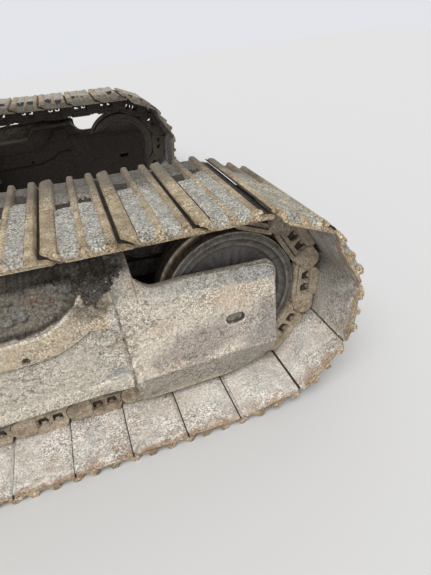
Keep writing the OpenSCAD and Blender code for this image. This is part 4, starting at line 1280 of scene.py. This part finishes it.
def makeSkin(side, sign, seed, finer):
    size = skin
    seam = size["seam"]
    fine = np.arange(size["fineFrom"], size["front"] + 1e-6, size["fineStep"] / finer)
    coarse = np.arange(size["rear"], size["fineFrom"] - 1e-6, size["coarseStep"])
    steps = [seam - 0.0006, seam + 0.0006, -0.3252, -0.3238, size["front"]]
    columns = np.unique(np.concatenate([coarse, fine, steps, np.arange(-0.056, 0.028, 0.0018)]))
    rows = int(size["rows"] * finer)
    low, high = skinBottom(columns), skinTop(columns)
    u = np.repeat(columns[:, None], rows, 1)
    z = low[:, None] + (high - low)[:, None] * np.linspace(0, 1, rows)[None, :]
    depth = spreadOut(skinDepth(u, z, seed), 2) + size["mud"]
    depth = depth + np.clip(skinLumps(u, z, seed), -0.0012, None)
    depth = depth - 0.013 * ramp(slotAway(u, z), 0.0205, 0.0175)
    for where in size["boltsAlong"]:
        depth = depth - 0.011 * ramp(np.hypot(u - where, z - size["boltHeight"]), 0.0125, 0.0095)
    colours = skinColours(u, z, seed)
    # One more row below and above closes the skin towards the frame
    onHood = columns < size["hoodEnd"]
    lowDepth = np.where(columns < seam, 0.108, depth[:, 0] - 0.012)
    highDepth = np.where(onHood, 0.030, depth[:, -1] - 0.008)
    z = np.concatenate([z[:, :1] + 0.004, z, z[:, -1:] + np.where(onHood, 0.022, -0.010)[:, None]], 1)
    depth = np.concatenate([lowDepth[:, None], depth, highDepth[:, None]], 1)
    # The front edge turns in behind the fork's face
    u = np.concatenate([u[:, :1], u, u[:, -1:]], 1)
    u = np.concatenate([u, u[-1:] - 0.0005], 0)
    z = np.concatenate([z, z[-1:]], 0)
    depth = np.concatenate([depth, depth[-1:] - 0.014], 0)
    colours = np.pad(colours, ((0, 1), (1, 1), (0, 0)), "edge").reshape(-1, 4)
    points = np.stack([u + idlerAt[0], sign * (trackMiddle + depth), z], -1).reshape(-1, 3)
    faces = gridFaces(*u.shape, sign > 0)
    placePiece(side + "FrameMud", points.tolist(), faces, "undercarriage", [crustEarth],
               paint=colours)
    return points, colours


print("stage: frame mud")
skinPoints = {}
for side, sign in sides.items():
    skinPoints[side] = makeSkin(side, sign, 7 if side == "right" else 19, 1.0 if side == "right" else 0.7)

# Idler: a lathed wheel with worn bright treads, a rusty groove beside the flange and a dished, scratched web.
# Each entry is (radius, distance from the wheel's middle, colour 0 to 255)
idlerWheel = {
    "steps": 160,
    "sharp": 35,
    "profile": [
        (0.041, 0.0735, (70, 66, 61)), (0.070, 0.0735, (92, 87, 80)), (0.0755, 0.070, (80, 76, 71)),
        (0.081, 0.0585, (64, 62, 59)), (0.120, 0.0575, (78, 76, 74)), (0.150, 0.0575, (84, 82, 80)),
        (0.170, 0.0585, (90, 87, 83)), (0.180, 0.066, (72, 68, 64)), (0.186, 0.0715, (104, 99, 92)),
        (0.200, 0.0738, (78, 74, 69)), (0.2075, 0.0745, (58, 54, 50)), (0.2095, 0.0790, (116, 110, 101)),
        (0.222, 0.0796, (76, 73, 69)), (0.2310, 0.0794, (92, 88, 82)), (0.2334, 0.0778, (172, 165, 154)),
        (0.2336, 0.070, (78, 72, 65)), (0.2336, 0.060, (74, 67, 59)), (0.2330, 0.048, (88, 72, 56)),
        (0.2334, 0.0405, (58, 44, 34)), (0.240, 0.0365, (96, 76, 56)), (0.2515, 0.0345, (196, 184, 164)),
        (0.2526, 0.030, (104, 92, 78)), (0.2526, 0.016, (62, 52, 44)), (0.2526, 0.0, (92, 80, 66))],
    "brightness": 1.30,
    "scratches": 1.1,
    "web": (0.08, 0.21),
    "dust": (128, 116, 98),
    "rust": (132, 100, 70),
}


def makeIdler(side, sign):
    look, steps = idlerWheel, idlerWheel["steps"]
    half = look["profile"]
    profile = half + [(r, -y, c) for r, y, c in reversed(half[:-1])]
    shades = np.array([earthColour(*p[2]) for p in profile])
    angle = np.linspace(0, 2 * np.pi, steps, endpoint=False)
    r, a = np.meshgrid(np.array([p[0] for p in profile]), angle, indexing="ij")
    y = np.repeat(np.array([p[1] for p in profile])[:, None], steps, 1)
    centre = boxMiddle(side + "_idler")
    points = np.stack([centre[0] + r * np.cos(a), centre[1] + y, centre[2] + r * np.sin(a)], -1)
    dusty = fractal(np.stack([r * np.cos(a), r * np.sin(a), y], -1), 12, 4, 31)
    rings = fractal(np.stack([r * 9, a * 0.6, y * 9], -1), 34, 3, 37)
    # Each ring of the wheel has its own ground colour
    coat = Coat(r.shape, (0, 0, 0))
    coat.tone = np.repeat(shades[:, None, :], steps, 1)
    coat.shade(look["brightness"] + look["scratches"] * rings)
    onWeb = (r > look["web"][0]) & (r < look["web"][1])
    coat.wash(ramp(dusty, 0.05, 0.5) * 0.45 * onWeb, look["dust"])
    coat.wash(ramp(dusty + 0.4 * rings, 0.35, 0.7) * 0.6, look["rust"])
    # Darker on the inner side: damp dirt and painted shade of the machine above
    coat.wash(ramp(sign * y, 0.03, -0.06) * 0.7, dampEarthAndShade)
    colours = np.concatenate([np.clip(coat.tone, 0.003, 1), np.zeros(r.shape + (1,))], -1)
    placePiece(side + "IdlerWheel", points.reshape(-1, 3).tolist(), tubeFaces(len(profile) - 1, steps),
               side + "_idler_wheel", [wheelPaint], look["sharp"], [side + "_idler"],
               paint=colours)


print("stage: idlers")
for side, sign in sides.items():
    makeIdler(side, sign)

# Loose stones on the skin's gravelly places, and pale lumps along the top of the fork's front corner.
# Lumps are (along, height, radius)
stones = {
    "count": 1700,
    "size": (0.002, 0.006),
    "large": 14,
    "largeSize": (0.008, 0.013),
    "stonyFrom": 0.35,
    "flangeFrom": -0.13,
    "flangeWeight": 0.007,
    "paleShare": 0.012,
    "scatter": 0.004,
    "lumps": ((0.024, 0.500, 0.008), (0.040, 0.503, 0.012), (0.060, 0.501, 0.009), (0.079, 0.500, 0.013),
              (0.094, 0.496, 0.010), (0.106, 0.492, 0.008)),
    "sharp": 55,
    "seed": 5,
}


def stoneShape(rng, radius):
    # A pebble: two rings of five between two poles, every corner pulled in or out, turned at random
    ways = [(0, 0, 1)]
    for k in range(10):
        lift, turn = (0.46 if k < 5 else -0.46), 2 * math.pi * (k % 5 + (0.5 if k > 4 else 0)) / 5
        ways.append((0.89 * math.cos(turn), 0.89 * math.sin(turn), lift))
    ways.append((0, 0, -1))
    squash = Vector((1, rng.uniform(0.7, 1), rng.uniform(0.55, 0.8)))
    turned = Euler([rng.uniform(0, 3) for _ in range(3)]).to_matrix()
    verts = [turned @ (Vector(way) * squash * radius * rng.uniform(0.82, 1.12)) for way in ways]
    faces = []
    for k in range(5):
        after = (k + 1) % 5
        faces += [(0, 1 + k, 1 + after), (11, 6 + after, 6 + k), (1 + k, 6 + k, 1 + after),
                  (1 + after, 6 + k, 6 + after)]
    return verts, faces


def scatterStones(side, sign, points, colours):
    rng = random.Random(stones["seed"] + (side == "left"))
    # Stones lie where the skin is stony and on the fork's sloping top towards its front
    u = points[:, 0] - idlerAt[0]
    onFlange = (u > stones["flangeFrom"]) & (points[:, 2] > creaseAt(u) + 0.004)
    stony = np.nonzero((colours[:, 3] > stones["stonyFrom"]) | onFlange)[0]
    weights = np.where(onFlange, stones["flangeWeight"], colours[:, 3] ** 2)[stony]
    weights = weights / weights.sum()
    chosen = np.random.default_rng(stones["seed"]).choice(stony, stones["count"], p=weights)
    heap = newHeap()
    for count, k in enumerate(chosen):
        radius = rng.uniform(*stones["largeSize" if count < stones["large"] else "size"])
        verts, faces = stoneShape(rng, radius)
        here = Vector(points[k]) + Vector([rng.uniform(-1, 1) * stones["scatter"] for _ in range(3)])
        here.y += sign * radius * 0.3
        # Pale stones on the fork's flange, mostly dark ones in the heap
        slot = 0 if onFlange[k] or rng.random() < stones["paleShare"] else 1
        pour(heap, verts, faces, slot, Matrix.Translation(here))
    for u, z, radius in stones["lumps"]:
        depth = skin["face"] - (z - creaseAt(u)) * skin["flangeSlope"] + radius * 0.2
        verts, faces = stoneShape(rng, radius)
        pour(heap, verts, faces, 0, Matrix.Translation((idlerAt[0] + u, sign * (trackMiddle + depth), z)))
    placeHeap(side + "FrameStones", heap, [paleStone, darkStone], stones["sharp"])


paleStone = gravelMud("paleStone", (190, 187, 178), (166, 162, 152), 240, 0.2, 0.3)
darkStone = gravelMud("darkStone", (104, 97, 88), (60, 55, 50), 240, 0.3, 0.3)
print("stage: stones")
for side, sign in sides.items():
    scatterStones(side, sign, *skinPoints[side])

# Dark mud packed behind the notch: on the hood, over the inner fork plate and round the yoke, its dark colour
# painted shade that closes the view through the notch
innerMudAndShade = {
    "along": (-0.50, -0.085),
    "depth": (-0.136, -0.097),
    "foot": ((-0.50, 0.46), (-0.36, 0.46), (-0.20, 0.45), (-0.085, 0.45)),
    "top": ((-0.50, 0.640), (-0.36, 0.672), (-0.20, 0.668), (-0.085, 0.640)),
    "bulge": 0.007,
    "steps": (70, 40),
}


def makeInnerMudAndShade(side, sign):
    look = innerMudAndShade
    n, m = look["steps"]
    u = np.linspace(*look["along"], n)
    foot, top = along(u, look["foot"]), along(u, look["top"])
    # Round each cross-section: up the side towards the chain, over the top, down the machine's side
    around = np.linspace(0, 1, m)
    rise = np.interp(around, [0, 0.42, 0.5, 0.58, 1], [0, 0.96, 1, 0.96, 0])
    across = np.interp(around, [0, 0.42, 0.5, 0.58, 1], [1, 0.9, 0.5, 0.1, 0])
    z = foot[:, None] + (top - foot)[:, None] * rise[None, :]
    inner, outer = look["depth"]
    depth = inner + (outer - inner) * across[None, :] + 0 * z
    u = np.repeat(u[:, None], m, 1)
    spot = np.stack([u, depth * 3, z], -1)
    outward = np.where(around < 0.5, -1.0, 1.0)[None, :]
    depth = depth + outward * look["bulge"] * (0.5 + 0.5 * fractal(spot, 18, 4, 61))
    z = z - 0.010 * rise[None, :] * fractal(spot, 30, 3, 65)
    points = np.stack([u + idlerAt[0], sign * (trackMiddle + depth), z], -1).reshape(-1, 3)
    ends = [tuple(range(m)), tuple(reversed(range((n - 1) * m, n * m)))]
    placePiece(side + "InnerMud", points.tolist(), gridFaces(n, m, sign > 0) + ends, "undercarriage",
               [packedMud])


print("stage: packed mud")
makeInnerMudAndShade("right", sides["right"])

# Bolt heads in circles about the slewing axis or about a sprocket's axle, in metres.
# At is the height of the slewing circles and the depth of the others, head is (radius, height)
slewBolts = {
    "slewRaceBolts": {
        "count": 36, "ring": 0.569, "at": 0.968, "head": (0.0185, 0.010), "slot": "ring_steel"},
    "slewSwivelBolts": {
        "count": 8, "ring": 0.158, "at": 0.515, "head": (0.0125, 0.010), "slot": "swivel_iron"},
}
driveBolts = {
    "HubBolts": {
        "count": 12, "ring": 0.088, "at": 0.134, "head": (0.0095, 0.007), "slot": "drive_paint"},
    "SprocketBolts": {
        "count": 20, "ring": 0.209, "at": 0.028, "head": (0.0130, 0.011), "slot": "sprocket_steel"},
}
boltSharp = 30


def boltHead(radius, height):
    # Six corners chamfered at the top, on a thin round washer that stands on z = 0
    rings = [(radius * 1.18, 0.0, 12), (radius * 1.18, height * 0.2, 12), (radius, height * 0.2, 6),
             (radius, height * 0.82, 6), (radius * 0.84, height, 6)]
    verts = [(r * math.cos(2 * math.pi * k / n), r * math.sin(2 * math.pi * k / n), z)
             for r, z, n in rings for k in range(n)]
    washer = tubeFaces(1, 12) + [tuple(range(12, 24))]
    return verts, washer + tubeFaces(2, 6, 24) + [tuple(range(36, 42))]


def boltCircle(name, look, finish, start, centre, second, stand):
    # The circle runs in X and the axis named by second, 1 for Y or 2 for Z. Stand turns a head off its wall
    heap = newHeap()
    for k in range(look["count"]):
        turn = 2 * math.pi * (k + start) / look["count"]
        spot = Vector(centre)
        spot[0] += look["ring"] * math.cos(turn)
        spot[second] += look["ring"] * math.sin(turn)
        spin = Matrix.Rotation(k * 0.7, 4, "Z")
        pour(heap, *boltHead(*look["head"]), 0, Matrix.Translation(spot) @ stand @ spin)
    placeHeap(name, heap, [finish], boltSharp)


print("stage: bolts and fittings")
for name, look in slewBolts.items():
    boltCircle(name, look, ringSteel, 0.5, (0, 0, look["at"]), 1, Matrix.Identity(4))
for name, look in driveBolts.items():
    for side, sign in sides.items():
        centre = (sprocketAt[0], sign * (trackMiddle + look["at"]), sprocketAt[2])
        boltCircle(side + name, look, darkPaint, 0, centre, 2, Matrix.Rotation(-sign * math.pi / 2, 4, "X"))

# Ports of the swivel, hexagon nipples round its wall without their hoses
swivelPorts = {
    "wall": 0.103,
    "levels": (0.575, 0.645, 0.715),
    "around": 6,
    "head": (0.0150, 0.024),
}
heap = newHeap()
for row, level in enumerate(swivelPorts["levels"]):
    for k in range(swivelPorts["around"]):
        turn = 2 * math.pi * (k + 0.5 * (row % 2)) / swivelPorts["around"]
        way = Vector((math.cos(turn), math.sin(turn), 0))
        stand = way.to_track_quat("Z", "Y").to_matrix().to_4x4()
        foot = way * swivelPorts["wall"] + Vector((0, 0, level))
        pour(heap, *boltHead(*swivelPorts["head"]), 0, Matrix.Translation(foot) @ stand)
placeHeap("swivelPorts", heap, [wheelIron], boltSharp)

# Finishes of the solids, by the node's name without its side
cadFinishes = {
    "side_frame": framePaint, "idler_fork": framePaint, "carrier_brackets": framePaint,
    "track_guards": framePaint, "idler": wheelIron, "bottom_rollers": wheelIron, "carrier_rollers": wheelIron,
    "swivel_body": wheelIron, "swivel_rotor": wheelIron, "idler_axle": ringSteel,
    "slew_ring_inner": ringSteel, "slew_ring_outer": ringSteel, "idler_blocks": darkPaint,
    "tension_yoke": darkPaint, "final_drive": darkPaint, "travel_motor": darkPaint, "motor_guard": darkPaint,
    "carbody": darkPaint, "front_leg": darkPaint, "rear_leg": darkPaint, "roller_shafts": chainSteel,
    "sprocket": chainSteel, "track_chain": chainSteel, "track_shoes": barSteel,
}
for name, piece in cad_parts.items():
    piece.data.materials.clear()
    piece.data.materials.append(cadFinishes[name.replace("right_", "").replace("left_", "")])

# Floor and light
studio = {
    "reach": 14,
    "floor": (0.62, 0.61, 0.59),
    "floorRough": 0.9,
    "sky": (0.93, 0.95, 1.0),
    "skyStrength": 0.82,
    "sunStrength": 1.85,
    "sunAngle": 0.7,
    "sunTurn": (0.55, -0.35, 0.0),
}


def makeStudio(look):
    mesh = bpy.data.meshes.new("floor")
    corners = [(x * look["reach"], y * look["reach"], 0) for x, y in ((-1, -1), (1, -1), (1, 1), (-1, 1))]
    mesh.from_pydata(corners, [], [(0, 1, 2, 3)])
    floor = bpy.data.objects.new("floor", mesh)
    bpy.context.scene.collection.objects.link(floor)
    mesh.materials.append(NodeBoard("floorPaint").done(look["floor"], look["floorRough"]))
    world = bpy.data.worlds.new("sky")
    world.use_nodes = True
    background = world.node_tree.nodes["Background"]
    background.inputs[0].default_value = (*look["sky"], 1)
    background.inputs[1].default_value = look["skyStrength"]
    bpy.context.scene.world = world
    sun = bpy.data.objects.new("softSun", bpy.data.lights.new("softSun", "SUN"))
    sun.data.energy = look["sunStrength"]
    sun.data.angle = look["sunAngle"]
    sun.rotation_euler = look["sunTurn"]
    bpy.context.scene.collection.objects.link(sun)
    bpy.context.scene.view_settings.view_transform = "Standard"


makeStudio(studio)
print("stage: finished")
